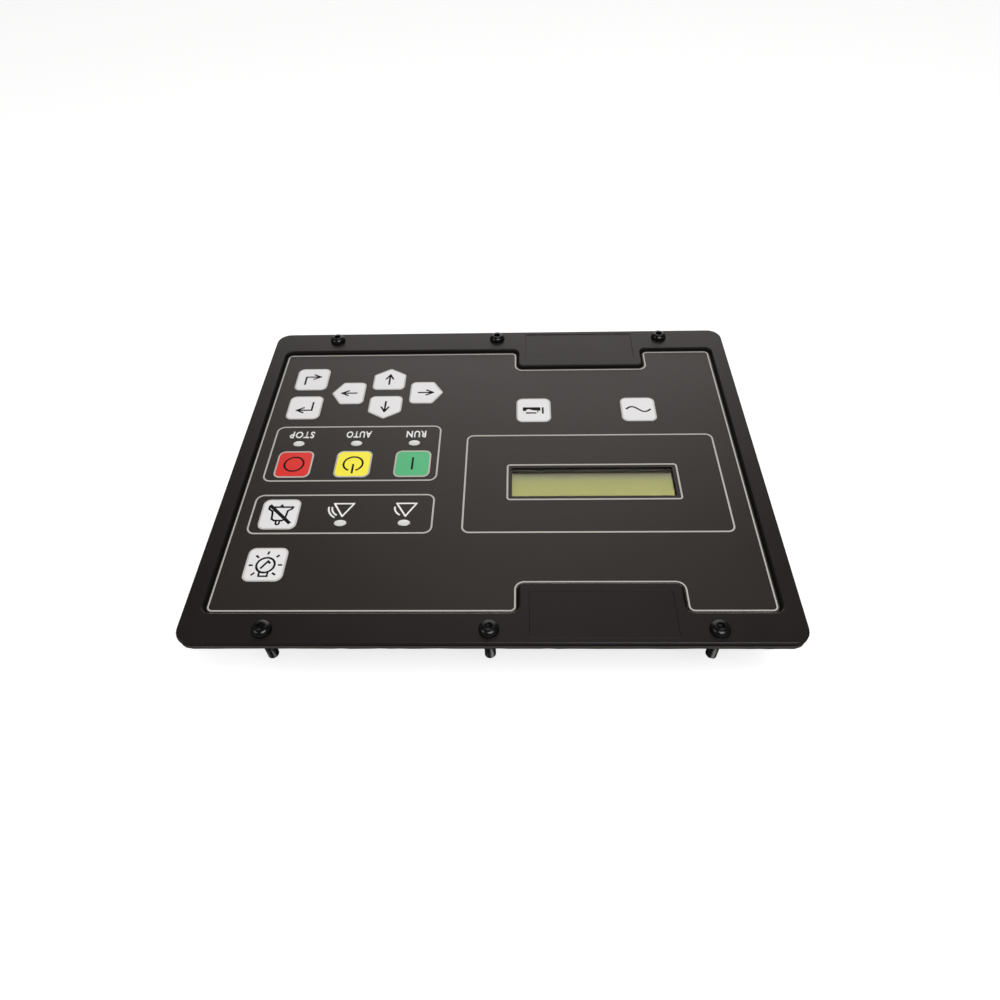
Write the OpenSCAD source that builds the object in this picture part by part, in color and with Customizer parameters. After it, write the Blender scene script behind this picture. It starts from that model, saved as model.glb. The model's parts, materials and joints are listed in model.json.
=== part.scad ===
// Engine control module for a generating set: a panel-mounted keypad and display unit.
// X runs to the right and Y up the panel as an operator faces it, and Z comes out of the face.
// The origin is the middle of the panel screw pattern, in the plane where the gasket meets the panel.

/* [Flange] */
// Width of the front flange
flange_w = 320; // [312:1:336]
// Height of the front flange
flange_h = 258; // [252:1:276]
// Thickness of the flange rim
flange_t = 3; // [2.6:0.1:4]
// Corner radius of the flange
flange_corner_r = 9; // [6:0.5:12]
// Radius that rounds the flange's front edge
edge_round = 1; // [0.4:0.1:1.5]
// Thickness of the foam gasket behind the flange
gasket_t = 3; // [2.5:0.1:5]
// Inset of the gasket from the flange's edge
gasket_inset = 0.5; // [0.2:0.1:1.5]

/* [Recess for the key film] */
// Flange width left beside the recess, left and right
recess_side = 8.8; // [8.4:0.1:9.6]
// Flange width left above the recess
recess_top = 17.4; // [16.6:0.1:18.4]
// Flange width left below the recess
recess_bottom = 19.6; // [16.6:0.1:20.4]
// Depth of the film's face below the flange's face
film_step = 2; // [1.4:0.1:2.3]
// Sideways run of the sloping recess wall
wall_run = 1.2; // [0.8:0.1:1.8]
// Radius of the rounded lip at the top of the recess wall
lip_round = 0.6; // [0.3:0.1:0.9]
// Corner radius at the foot of the recess wall
recess_corner_r = 4; // [3:0.25:6]
// Gap between the film's edge and the recess wall
film_gap = 0.35; // [0.2:0.05:0.6]
// Thickness of the printed key film
film_t = 0.4; // [0.3:0.05:0.5]
// Thickness of the spacer sheet that holds the snap domes
spacer_t = 0.4; // [0.3:0.05:0.5]
// Thickness of the key circuit sheet
circuit_t = 0.3; // [0.2:0.05:0.4]
// Thickness of the tray floor behind the key circuit
floor_t = 2.5; // [2.2:0.1:2.8]

/* [Tongues and label recesses] */
// Width of the flange tongues that reach into the recess
tongue_w = 83.6; // [80:0.2:90]
// Reach of the upper tongue from the flange's edge
tongue_top_reach = 35.8; // [34.5:0.1:40]
// Reach of the lower tongue from the flange's edge
tongue_bottom_reach = 38.1; // [34.5:0.1:42]
// Radius of the tongue's inner corners at the wall's foot
tongue_r = 3.6; // [2.9:0.1:5]
// Centre of both tongues, from the middle
tongue_x = -58; // [-64:0.5:-52]
// Width of the shallow label recess on each tongue
label_w = 75; // [60:0.5:78]
// Height of the label recess
label_h = 28.4; // [20:0.2:29]
// Distance of the label recess from the flange's edge
label_edge = 3.3; // [2.5:0.1:4]
// Depth of the label recess
label_depth = 0.4; // [0.2:0.05:0.6]

/* [Panel screws] */
// Distance between the outer screw columns
screw_pitch = 231; // [220:1:240]
// Distance of the screws from the flange's upper and lower edge
screw_edge = 8; // [7.5:0.1:8.6]
// Thread diameter of the panel screws
screw_d = 6; // [5:0.5:6]
// Length of the panel screws under the head
screw_len = 25; // [20:1:35]
// Head diameter of the panel screws
head_d = 10.5; // [9:0.1:11]
// Head height of the panel screws
head_h = 3.3; // [2.6:0.1:3.6]
// Width across the flats of the hexagon socket
socket_af = 4; // [3:0.5:4]
// Diameter of the plain neck between each panel screw's head and thread
neck_d = 5.3; // [4:0.1:5.4]
// Clearance round the screws in the flange and gasket
screw_clear = 0.3; // [0.2:0.05:0.5]

/* [Keys] */
// Distance of the first key column inside the housing's right side
key_inset = 18; // [17.6:0.1:19]
// Distance between the key columns
key_pitch = 36.7; // [35.5:0.1:37.5]
// Diameter of the snap domes
dome_d = 12; // [8:0.5:14]
// Rise of the snap domes inside the spacer
dome_rise = 0.3; // [0.15:0.05:0.3]
// Height of the STOP, AUTO and RUN key row
run_row_y = 1.5; // [-1:0.1:3]
// Height of the alarm silence key
alarm_row_y = 42.4; // [40:0.1:44]
// Height of the lamp test key
lamp_row_y = 78.4; // [75:0.1:80]
// Height of the two keys below the display
select_row_y = -46.1; // [-48:0.1:-44]
// Height of the middle of the arrow keys
arrow_row_y = -64.7; // [-67:0.1:-62]
// Sideways distance of the left and right arrow keys from the arrows' middle
arrow_out_x = 25.3; // [24:0.1:27]
// Distance of the up and down arrow keys from the arrows' middle
arrow_out_y = 13.3; // [12.5:0.1:16]
// Distance between the enter and escape keys
enter_pitch = 29.2; // [26:0.1:32]
// Height midway between the enter and escape keys
enter_row_y = -65; // [-67:0.1:-63]
// Outward shift of the enter and escape keys from the first column
enter_shift = 2.8; // [0:0.1:4]
// Distance of the arrow keys' middle from the first column
arrow_inset = 50.8; // [49:0.1:52]
// Distance between the two keys below the display
select_pitch = 68.2; // [60:0.1:74]

/* [Light pipes] */
// Width of the oval light pipes
pipe_w = 7.2; // [6:0.1:8]
// Height of the oval light pipes
pipe_h = 4.5; // [3.5:0.1:5.5]
// Rise of the pipe's face above the film
pipe_proud = 0.2; // [0.1:0.05:0.4]
// Distance of the lamps below the RUN key row
run_lamp_drop = 17.7; // [16.5:0.1:18.5]
// Distance of the lamps above the alarm silence key's row
alarm_lamp_rise = 6.8; // [5:0.1:8]

/* [Display] */
// Distance of the display's middle inside the housing's left side
display_inset = 82.8; // [81:0.1:84]
// Height of the display's middle
display_y = 17.8; // [15:0.1:20]
// Width of the opening in the film
aperture_w = 97.2; // [94:0.1:99]
// Height of the opening in the film
aperture_h = 23.4; // [21:0.1:25]
// Overlap of the clear window behind the film round the opening
window_lap = 3; // [2:0.1:4]
// Width of the display's viewing area
view_w = 96; // [90:0.1:97]
// Height of the display's viewing area
view_h = 19.5; // [17:0.1:21]
// Width of the display's sheet metal frame
lcd_w = 116; // [114:0.5:118]
// Height of the display's sheet metal frame
lcd_h = 37; // [36:0.5:38]
// Depth of the display's sheet metal frame
lcd_frame_h = 6.9; // [6.4:0.1:7.4]
// Thickness of the frame's sheet metal
lcd_sheet_t = 0.5; // [0.4:0.05:0.7]
// Thickness of the liquid crystal glass
glass_t = 2.6; // [2.2:0.1:2.8]
// Thickness of the floor left in front of the display frame
pocket_skin = 1; // [0.8:0.05:1.3]

/* [Boards] */
// Thickness of both circuit boards
board_t = 1.6; // [1.2:0.1:2]
// Distance of the main board's face behind the panel plane
board_drop = 13; // [12:0.1:14]
// Gap between the main board's edge and the housing wall
board_gap = 1; // [0.6:0.1:1.6]
// Diameter of the bosses that carry the boards
boss_d = 7; // [6:0.1:8]
// Thread diameter of the board screws
board_screw_d = 3; // [2.5:0.1:3.2]
// Gap round every screw inside its boss
thread_gap = 0.05; // [0.02:0.01:0.1]

/* [Rear housing] */
// Width of the housing's lip
housing_w = 284; // [282:0.5:287]
// Height of the housing's lip
housing_h = 214; // [212:0.5:216]
// Width of the lip round the housing's shell
lip_w = 10; // [9.4:0.1:10.4]
// Thickness of the lip
lip_t = 3; // [2.5:0.1:4]
// Thickness of the housing's walls
wall = 2.5; // [2:0.1:3]
// Corner radius of the housing's shell
shell_r = 8; // [6:0.5:10]
// Inward draft of the shell's walls over their depth
draft = 1.2; // [0.6:0.1:1.6]
// Radius that rounds the housing's back edges
back_round = 2; // [1:0.1:2.4]
// Distance of the housing's back behind the panel plane
housing_depth = 39; // [38:0.5:46]
// Distance of the connector shelf's back behind the panel plane
shelf_depth = 22; // [21.5:0.1:23]
// Height at which the deep part of the housing starts
shelf_y = -42; // [-44:0.5:-40]
// Height of the locating ring on the bezel's back
spigot_h = 6; // [5:0.1:7]
// Thickness of the locating ring's wall
spigot_wall = 3; // [2.4:0.1:4]
// Thickness of the housing seal
seal_t = 1; // [0.6:0.1:1.5]
// Depth of the grooves between the back's ribs
groove_depth = 1; // [0.4:0.1:1.2]
// Number of ribs across the back
rib_count = 9; // [5:1:13]
// Thread diameter of the cover screws
cover_screw_d = 4; // [3:0.5:4]
// Head diameter of the cover screws
cover_head_d = 7.6; // [6:0.1:8]

/* [Connectors] */
// Width of the engine harness header
engine_header_w = 96; // [88:0.5:102]
// Width of the generator harness header
generator_header_w = 62; // [56:0.5:68]
// Height of both headers
header_h = 28; // [26:0.5:30]
// Centre of the engine header, from the middle
engine_header_x = -62; // [-66:0.5:-58]
// Centre of the generator header, from the middle
generator_header_x = 42; // [38:0.5:46]
// Thickness of the header's shroud wall
shroud_wall = 2.2; // [1.8:0.1:2.6]
// Gap between the header's mouth and the housing's back plane
mouth_setback = 2; // [1:0.1:4]
// Distance of the pin tips inside the header's mouth
pin_setback = 6; // [5:0.1:7]
// Distance between the pins
pin_pitch = 5; // [4.5:0.1:5.5]
// Side of the square pins
pin_size = 1.5; // [1:0.1:2]
// Thread diameter of the earthing stud
stud_d = 5; // [4:0.5:6]

/* [Hidden] */

$fn = 48;
corner_steps = 6;
eps = 0.01;
deep_cut = 60;

// Levels along Z, from the panel plane at zero
flange_back = gasket_t;
flange_face = flange_back + flange_t;
film_face = flange_face - film_step;
film_back = film_face - film_t;
spacer_back = film_back - spacer_t;
floor_face = spacer_back - circuit_t;
tray_back = floor_face - floor_t;
spigot_end = tray_back - spigot_h;
lip_face = spigot_end - seal_t;
lip_back = lip_face - lip_t;
board_face = -board_drop;
board_back = board_face - board_t;
shelf_back = -shelf_depth;
shelf_inner = shelf_back + wall;
back = -housing_depth;
pocket_face = floor_face - pocket_skin;
lcd_glass_face = pocket_face - lcd_sheet_t;
lcd_glass_back = lcd_glass_face - glass_t;
lcd_board_face = pocket_face - lcd_frame_h;
lcd_board_back = lcd_board_face - board_t;
header_mouth = back + mouth_setback;
pin_tip = header_mouth + pin_setback;
header_floor = shelf_back;

// Recess outline at the foot of its wall
wall_total = wall_run + lip_round;
recess_x = flange_w / 2 - recess_side - wall_total;
recess_y1 = flange_h / 2 - recess_top - wall_total;
recess_y0 = -(flange_h / 2 - recess_bottom - wall_total);
tongue_half = tongue_w / 2 + wall_total;
tongue_l = tongue_x - tongue_half;
tongue_r_x = tongue_x + tongue_half;
tongue_y1 = flange_h / 2 - tongue_top_reach - wall_total;
tongue_y0 = -(flange_h / 2 - tongue_bottom_reach - wall_total);
label_y = flange_h / 2 - label_edge - label_h / 2;

// Key columns and rows
stop_x = housing_w / 2 - key_inset;
auto_x = stop_x - key_pitch;
run_x = auto_x - key_pitch;
arrow_x = stop_x - arrow_inset;
enter_x = stop_x + enter_shift;
display_x = -(housing_w / 2 - display_inset);
sine_x = display_x - select_pitch / 2;
engine_x = display_x + select_pitch / 2;
KEYS = [
    [stop_x, run_row_y], [auto_x, run_row_y], [run_x, run_row_y],
    [stop_x, alarm_row_y], [stop_x, lamp_row_y],
    [sine_x, select_row_y], [engine_x, select_row_y],
    [enter_x, enter_row_y + enter_pitch / 2], [enter_x, enter_row_y - enter_pitch / 2],
    [arrow_x - arrow_out_x, arrow_row_y], [arrow_x + arrow_out_x, arrow_row_y],
    [arrow_x, arrow_row_y + arrow_out_y], [arrow_x, arrow_row_y - arrow_out_y]];
run_lamp_y = run_row_y - run_lamp_drop;
alarm_lamp_y = alarm_row_y + alarm_lamp_rise;
LAMPS = [[stop_x, run_lamp_y], [auto_x, run_lamp_y], [run_x, run_lamp_y],
    [auto_x, alarm_lamp_y], [run_x, alarm_lamp_y]];
slip = 0.15;
pipe_collar = 1.2;
led_h = 1.2;

// Panel screws
screw_x = screw_pitch / 2;
screw_y = flange_h / 2 - screw_edge;
PANEL_SCREWS = [for (x = [-screw_x, 0, screw_x], y = [-screw_y, screw_y]) [x, y]];
tip_chamfer = 1;
socket_depth = 2;

// Tray, locating ring, seal and cover screws
tray_wall = 2;
tray_x = recess_x + wall_total + tray_wall;
tray_y1 = recess_y1 + wall_total + tray_wall;
tray_y0 = recess_y0 - wall_total - tray_wall;
tray_mid_y = (tray_y0 + tray_y1) / 2;
tray_r = recess_corner_r + tray_wall;
tray_gap = 0.5;
gasket_open_x = max(tray_x, housing_w / 2) + tray_gap;
gasket_open_y1 = max(tray_y1, housing_h / 2) + tray_gap;
gasket_open_y0 = min(tray_y0, -housing_h / 2) - tray_gap;
lip_r = shell_r + lip_w / 2;
cover_inset = lip_w / 2;
cover_x = housing_w / 2 - cover_inset;
cover_y = housing_h / 2 - cover_inset;
cover_corner = shell_r * (1 - cos(45));
COVER_SCREWS = concat(
    [for (x = [-1, 1], y = [-1, 1]) [x * (cover_x - cover_corner), y * (cover_y - cover_corner)]],
    [for (x = [-1, 1], y = [-1, 1]) [x * cover_x / 3, y * cover_y]],
    [for (x = [-1, 1]) [x * cover_x, 0]]);
cover_boss_d = lip_w - 1;
cover_head_h = 2.6;
cover_screw_reach = lip_t + seal_t + spigot_h + floor_t - 2;

// Shell, inside and out
shell_x = housing_w / 2 - lip_w;
shell_y = housing_h / 2 - lip_w;
board_x = shell_x - wall - draft - board_gap;
board_y = shell_y - wall - draft - board_gap;
board_corner = 4;
boss_inset = boss_d / 2 + 1.5;
BOARD_BOSSES = [for (x = [-board_x + boss_inset, -6, board_x - boss_inset],
    y = [-board_y + boss_inset, board_y - boss_inset]) [x, y]];
board_head_d = board_screw_d * 1.8;
board_head_h = board_screw_d * 0.7;
board_screw_len = 8;
header_y = (shelf_y - shell_y) / 2;
header_flange = 2;
header_flange_face = shelf_inner + 1;
header_clear = 0.3;
header_r = 3;
jack_d = 5;
jack_boss_d = 9;
jack_nut_d = 7;
jack_nut_len = 7;

// Display parts
lcd_board_w = lcd_w + 16;
lcd_board_h = lcd_h + 7;
display_boss_d = 6;
DISPLAY_BOSSES = [for (x = [-1, 1], y = [-1, 1])
    [display_x + x * (lcd_w / 2 + display_boss_d / 2 + 1.2), display_y + y * (lcd_h / 2 - 1)]];
display_screw_d = 2.5;
lcd_slip = 0.4;
glass_w = lcd_w - 8;
glass_h = lcd_h - 6;
strip_t = 1.6;
strip_y = glass_h / 2 - strip_t;
backlight_h = 2 * strip_y - strip_t - 1;

// Key circuit tail and its socket on the main board
tail_x = run_x - 26;
tail_y = -8;
tail_w = 16;
tail_bend = 1.2;
tail_slot_w = tail_w + 2;
tail_slot_h = 3;
tail_socket_h = 4;

// Rows of parts on the back of the main board
top_row_y = board_y - 24;
middle_row_y = 20;
left_column_x = -board_x + 22;
right_column_x = board_x - 19.3;
relay_x = 26;
relay_pitch = 23;
relay_h = 15;
relay_w = 15;
relay_l = 19;
relay_foot = 0.5;
can_d = 16;
can_h = 19;
can_pitch = 21;
choke_x = -22;
choke_wire_r = 5;
transformer_pitch = 27;
transformer_w = 22;
transformer_l = 18;
transformer_h = 14;
transformer_core_w = 12;
transformer_core_l = 17;
transformer_core_h = 17;
transistor_pitch = 14;
processor_w = 28;
processor_t = 2.4;
memory_w = 10;
memory_l = 18;
memory_t = 2;
connector_w = 40;
connector_d = 5;
display_screw_len = 6;
display_head_h = 1.8;

module rounded_slab(w, h, r, t) {
    linear_extrude(t)
        union() {
            square([w - 2 * r, h], center = true);
            square([w, h - 2 * r], center = true);
            for (x = [-1, 1], y = [-1, 1])
                translate([x * (w / 2 - r), y * (h / 2 - r)]) circle(r);
        }
}

module oval(w, h) scale([w / h, 1]) circle(d = h);

// Corners are [centre x, centre y, radius, start angle, sweep], listed counter-clockwise.
// A negative sweep is an inner corner, whose radius shrinks where an outer one grows.
function box_corners(x0, x1, y0, y1, r) = [
    [x1 - r, y1 - r, r, 0, 90], [x0 + r, y1 - r, r, 90, 90],
    [x0 + r, y0 + r, r, 180, 90], [x1 - r, y0 + r, r, 270, 90]];

function outline(corners, grow) = [for (c = corners, i = [0:corner_steps])
    let (a = c[3] + c[4] * i / corner_steps, r = c[2] + (c[4] > 0 ? grow : -grow))
    [c[0] + r * cos(a), c[1] + r * sin(a)]];

// A solid through rings of [grow, z], lowest ring first, all round one set of corners
module loft(corners, rings) {
    n = len(corners) * (corner_steps + 1);
    points = [for (ring = rings, p = outline(corners, ring[0])) [p[0], p[1], ring[1]]];
    sides = [for (k = [0:len(rings) - 2], i = [0:n - 1]) let (j = (i + 1) % n)
        [k * n + i, (k + 1) * n + i, (k + 1) * n + j, k * n + j]];
    polyhedron(points, concat([[for (i = [0:n - 1]) i]], sides,
        [[for (i = [n - 1:-1:0]) (len(rings) - 1) * n + i]]));
}

RECESS = let (r = recess_corner_r, t = tongue_r) [
    [recess_x - r, recess_y1 - r, r, 0, 90],
    [tongue_r_x + r, recess_y1 - r, r, 90, 90],
    [tongue_r_x - t, tongue_y1 + t, t, 0, -90],
    [tongue_l + t, tongue_y1 + t, t, 270, -90],
    [tongue_l - r, recess_y1 - r, r, 0, 90],
    [-recess_x + r, recess_y1 - r, r, 90, 90],
    [-recess_x + r, recess_y0 + r, r, 180, 90],
    [tongue_l - r, recess_y0 + r, r, 270, 90],
    [tongue_l + t, tongue_y0 - t, t, 180, -90],
    [tongue_r_x - t, tongue_y0 - t, t, 90, -90],
    [tongue_r_x + r, recess_y0 + r, r, 180, 90],
    [recess_x - r, recess_y0 + r, r, 270, 90]];
FLANGE = box_corners(-flange_w / 2, flange_w / 2, -flange_h / 2, flange_h / 2, flange_corner_r);

// Quarter-round steps of radius r, as [inward or outward run, rise] pairs
function quarter(r) = [for (a = [0:30:90]) [r * (1 - cos(a)), r * sin(a)]];

module lamp_holes(grow, z0, z1) {
    for (p = LAMPS) translate([p[0], p[1], z0])
        linear_extrude(z1 - z0) oval(pipe_w + 2 * grow, pipe_h + 2 * grow);
}

module at(points) for (p = points) translate([p[0], p[1], 0]) children();

module flange_plate() {
    loft(FLANGE, concat([[-edge_round / 2, flange_back], [0, flange_back + edge_round / 2]],
        [for (q = quarter(edge_round)) [-q[0], flange_face - edge_round + q[1]]]));
}

module recess() {
    lip_start = flange_face - lip_round;
    loft(RECESS, concat([[0, floor_face - floor_t / 2], [0, floor_face], [wall_run, lip_start]],
        [for (q = quarter(lip_round)) if (q[1] > 0) [wall_run + q[0], lip_start + q[1]]],
        [[wall_total, flange_face + 1]]));
}

module locating_ring() {
    translate([0, 0, spigot_end]) difference() {
        rounded_slab(housing_w, housing_h, lip_r, spigot_h + floor_t / 2);
        translate([0, 0, -1])
            rounded_slab(housing_w - 2 * spigot_wall, housing_h - 2 * spigot_wall,
                lip_r - spigot_wall, spigot_h + 1);
    }
    at(COVER_SCREWS) translate([0, 0, spigot_end])
        cylinder(d = cover_boss_d, h = spigot_h + floor_t / 2);
}

module tray(z0, z1) {
    translate([0, tray_mid_y, z0]) rounded_slab(2 * tray_x, tray_y1 - tray_y0, tray_r, z1 - z0);
}

module front_bezel() {
    color([0.13, 0.125, 0.12]) difference() {
        union() {
            difference() {
                union() {
                    flange_plate();
                    tray(tray_back, flange_back + flange_t / 3);
                }
                recess();
            }
            tray(tray_back, floor_face);
            locating_ring();
            at(BOARD_BOSSES) translate([0, 0, board_face])
                cylinder(d = boss_d, h = tray_back - board_face + floor_t / 2);
            at(DISPLAY_BOSSES) translate([0, 0, lcd_board_face])
                cylinder(d = display_boss_d, h = tray_back - lcd_board_face + floor_t / 2);
        }
        for (s = [-1, 1])
            translate([tongue_x, s * label_y, flange_face - label_depth])
                rounded_slab(label_w, label_h, 1.5, label_depth + 1);
        translate([display_x, display_y, 0]) {
            translate([0, 0, tray_back - 1]) rounded_slab(aperture_w, aperture_h, 1, floor_t + 2);
            translate([0, 0, tray_back - 1]) rounded_slab(lcd_w + 2 * lcd_slip, lcd_h + 2 * lcd_slip,
                1.5, pocket_face - tray_back + 1);
        }
        lamp_holes(slip, tray_back - 1, floor_face + 1);
        translate([tail_x, tail_y, tray_back - 1])
            rounded_slab(tail_slot_w, tail_slot_h, 1, floor_t + 2);
        at(PANEL_SCREWS) translate([0, 0, tray_back - 1])
            cylinder(d = screw_d + 2 * screw_clear, h = deep_cut);
        at(COVER_SCREWS) translate([0, 0, spigot_end - 1])
            cylinder(d = cover_screw_d + 2 * thread_gap, h = spigot_h + floor_t);
        at(BOARD_BOSSES) translate([0, 0, board_face - 1])
            cylinder(d = board_screw_d + 2 * thread_gap, h = board_screw_len + 1);
        at(DISPLAY_BOSSES) translate([0, 0, lcd_board_face - 1])
            cylinder(d = display_screw_d + 2 * thread_gap, h = board_screw_len - 1);
    }
}

module panel_gasket() {
    color([0.2, 0.19, 0.18]) difference() {
        rounded_slab(flange_w - 2 * gasket_inset, flange_h - 2 * gasket_inset,
            flange_corner_r - gasket_inset, gasket_t);
        translate([0, (gasket_open_y0 + gasket_open_y1) / 2, -1])
            rounded_slab(2 * gasket_open_x, gasket_open_y1 - gasket_open_y0,
                tray_r + tray_gap, gasket_t + 2);
        at(PANEL_SCREWS) translate([0, 0, -1])
            cylinder(d = screw_d + 2 * screw_clear, h = gasket_t + 2);
    }
}

// A domed button head with a hexagon socket, a plain neck through the flange and a chamfered tip
module button_screw() {
    flat_r = socket_af * 0.62;
    rim = 0.12;
    grip = flange_face;
    difference() {
        union() {
            rotate_extrude() polygon(concat([[0, 0], [head_d / 2, 0]],
                [for (a = [0:11.25:90]) [head_d / 2 - (head_d / 2 - flat_r) * (1 - cos(a)),
                    head_h * (rim + (1 - rim) * sin(a))]],
                [[0, head_h]]));
            translate([0, 0, -grip]) cylinder(d = neck_d, h = grip + eps);
            translate([0, 0, -screw_len + tip_chamfer])
                cylinder(d = screw_d, h = screw_len - tip_chamfer - grip);
            translate([0, 0, -screw_len])
                cylinder(d1 = screw_d - 2 * tip_chamfer, d2 = screw_d, h = tip_chamfer + eps);
        }
        translate([0, 0, head_h - socket_depth])
            cylinder(d = socket_af / cos(30), h = socket_depth + 1, $fn = 6);
    }
}

module panel_screws() {
    color([0.06, 0.06, 0.06]) at(PANEL_SCREWS) translate([0, 0, flange_face]) button_screw();
}

module film_sheet(z0, t) translate([0, 0, z0]) linear_extrude(t) polygon(outline(RECESS, -film_gap));

module key_film() {
    color([0.22, 0.21, 0.2]) difference() {
        film_sheet(film_back, film_t);
        translate([display_x, display_y, film_back - 1])
            rounded_slab(aperture_w, aperture_h, 1, film_t + 2);
        lamp_holes(slip, film_back - 1, film_face + 1);
    }
}

module window_gap(z0, t) {
    translate([display_x, display_y, z0 - 1])
        rounded_slab(aperture_w + 2 * (window_lap + slip), aperture_h + 2 * (window_lap + slip), 1.5, t + 2);
}

module dome_spacer() {
    color([0.85, 0.85, 0.82]) difference() {
        film_sheet(spacer_back, spacer_t);
        window_gap(spacer_back, spacer_t);
        lamp_holes(slip, spacer_back - 1, film_back + 1);
        at(KEYS) translate([0, 0, spacer_back - 1]) cylinder(d = dome_d + 2 * slip, h = spacer_t + 2);
    }
}

// Each snap dome is a shallow stepped cap that sits on the key circuit
module snap_domes() {
    color([0.75, 0.75, 0.77]) at(KEYS) translate([0, 0, spacer_back]) rotate_extrude()
        polygon([[0, dome_rise - 0.1], [dome_d / 4, dome_rise * 0.75 - 0.1], [dome_d / 2 - 0.5, 0],
            [dome_d / 2, 0], [dome_d / 2, 0.1], [dome_d / 2 - 0.4, 0.1],
            [dome_d / 4, dome_rise * 0.75], [0, dome_rise]]);
}

// The circuit sheet turns down through the slot in the tray as a flat tail
module key_circuit() {
    color([0.75, 0.55, 0.2]) {
        difference() {
            film_sheet(floor_face, circuit_t);
            window_gap(floor_face, circuit_t);
            lamp_holes(slip, floor_face - 1, spacer_back + 1);
            translate([tail_x - tail_w / 2, tail_y - tail_slot_h / 2, floor_face - 1])
                cube([tail_w, tail_bend + circuit_t, circuit_t + 2]);
        }
        outer = tail_bend + circuit_t;
        drop = board_face + 1 - floor_face;
        translate([tail_x - tail_w / 2, tail_y - tail_slot_h / 2 + tail_bend, floor_face])
            rotate([90, 0, 90]) linear_extrude(tail_w) polygon(concat(
                [[-tail_bend - 1, circuit_t], [0, circuit_t]],
                [for (a = [75:-15:0]) [outer * cos(a), outer * sin(a) - tail_bend]],
                [[outer, drop], [tail_bend, drop]],
                [for (a = [0:15:75]) [tail_bend * cos(a), tail_bend * sin(a) - tail_bend]],
                [[0, 0], [-tail_bend - 1, 0]]));
    }
}

module display_window() {
    color([0.8, 0.85, 0.85, 0.4]) translate([display_x, display_y, floor_face])
        rounded_slab(aperture_w + 2 * window_lap, aperture_h + 2 * window_lap, 1.5, film_back - floor_face);
}

module lcd_frame() {
    color([0.1, 0.1, 0.1]) translate([display_x, display_y, 0]) {
        difference() {
            translate([0, 0, lcd_board_face]) rounded_slab(lcd_w, lcd_h, 1, lcd_frame_h);
            translate([0, 0, lcd_board_face - 1]) rounded_slab(lcd_w - 2 * lcd_sheet_t,
                lcd_h - 2 * lcd_sheet_t, 0.5, lcd_frame_h + 1 - lcd_sheet_t);
            translate([0, 0, lcd_glass_face - 1]) rounded_slab(view_w, view_h, 0.5, lcd_sheet_t + 2);
        }
    }
}

module lcd_glass() {
    color([0.62, 0.66, 0.4])
        translate([display_x - glass_w / 2, display_y - glass_h / 2, lcd_glass_back])
            cube([glass_w, glass_h, glass_t]);
}

module lcd_contact_strips() {
    color([0.15, 0.15, 0.15]) for (s = [-1, 1])
        translate([display_x - view_w / 2, display_y + s * strip_y - strip_t / 2, lcd_board_face])
            cube([view_w, strip_t, lcd_glass_back - lcd_board_face]);
}

module lcd_backlight() {
    color([0.8, 0.85, 0.6])
        translate([display_x - glass_w / 2, display_y - backlight_h / 2, lcd_board_face])
            cube([glass_w, backlight_h, lcd_glass_back - lcd_board_face]);
}

module lcd_board() {
    color([0.1, 0.35, 0.2]) difference() {
        translate([display_x, display_y, lcd_board_back])
            rounded_slab(lcd_board_w, lcd_board_h, 1.5, board_t);
        at(DISPLAY_BOSSES) translate([0, 0, lcd_board_back - 1])
            cylinder(d = display_screw_d + 2 * slip, h = board_t + 2);
    }
}

// A pan head screw that comes from behind, its head under the level z and its shank above it
module back_screw(z, d, shank, head_dia, head_t) {
    translate([0, 0, z]) difference() {
        union() {
            cylinder(d = d, h = shank);
            translate([0, 0, -head_t]) cylinder(d1 = head_dia * 0.8, d2 = head_dia, h = head_t * 0.4);
            translate([0, 0, -head_t * 0.6 - eps]) cylinder(d = head_dia, h = head_t * 0.6 + eps);
        }
        for (a = [0, 90]) rotate(a) translate([-head_dia * 0.3, -d * 0.12, -head_t - 1])
            cube([head_dia * 0.6, d * 0.24, head_t * 0.55 + 1]);
    }
}

module display_screws() {
    color([0.7, 0.7, 0.7]) at(DISPLAY_BOSSES)
        back_screw(lcd_board_back, display_screw_d, display_screw_len, display_screw_d * 1.8, display_head_h);
}

module light_pipes() {
    pipe_foot = board_face + led_h + 0.3;
    color([0.9, 0.9, 0.88, 0.7]) for (p = LAMPS) translate([p[0], p[1], 0]) {
        translate([0, 0, pipe_foot]) linear_extrude(film_face - pipe_foot) oval(pipe_w, pipe_h);
        translate([0, 0, tray_back - pipe_collar]) linear_extrude(pipe_collar)
            oval(pipe_w + 2 * pipe_collar, pipe_h + 2 * pipe_collar);
        for (i = [0:3]) translate([0, 0, film_face + pipe_proud * i / 4 - eps])
            linear_extrude(pipe_proud / 4 + eps) oval(pipe_w - 0.35 * i, pipe_h - 0.35 * i);
    }
}

module status_leds() {
    color([0.95, 0.93, 0.8]) for (p = LAMPS) translate([p[0] - 1.6, p[1] - 1.4, board_face]) {
        cube([3.2, 2.8, led_h * 0.6]);
        translate([0.4, 0.2, 0]) cube([2.4, 2.4, led_h]);
    }
}

module main_board() {
    color([0.08, 0.3, 0.16]) difference() {
        translate([0, 0, board_back]) rounded_slab(2 * board_x, 2 * board_y, board_corner, board_t);
        at(BOARD_BOSSES) translate([0, 0, board_back - 1])
            cylinder(d = board_screw_d + 2 * slip, h = board_t + 2);
    }
}

module board_screws() {
    color([0.7, 0.7, 0.7]) at(BOARD_BOSSES)
        back_screw(board_back, board_screw_d, board_t + board_screw_len - 1, board_head_d, board_head_h);
}

module display_connector() {
    color([0.1, 0.1, 0.1]) translate([display_x - connector_w / 2,
        display_y - lcd_board_h / 2 + 1, board_face])
        cube([connector_w, connector_d, lcd_board_back - board_face]);
}

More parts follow.
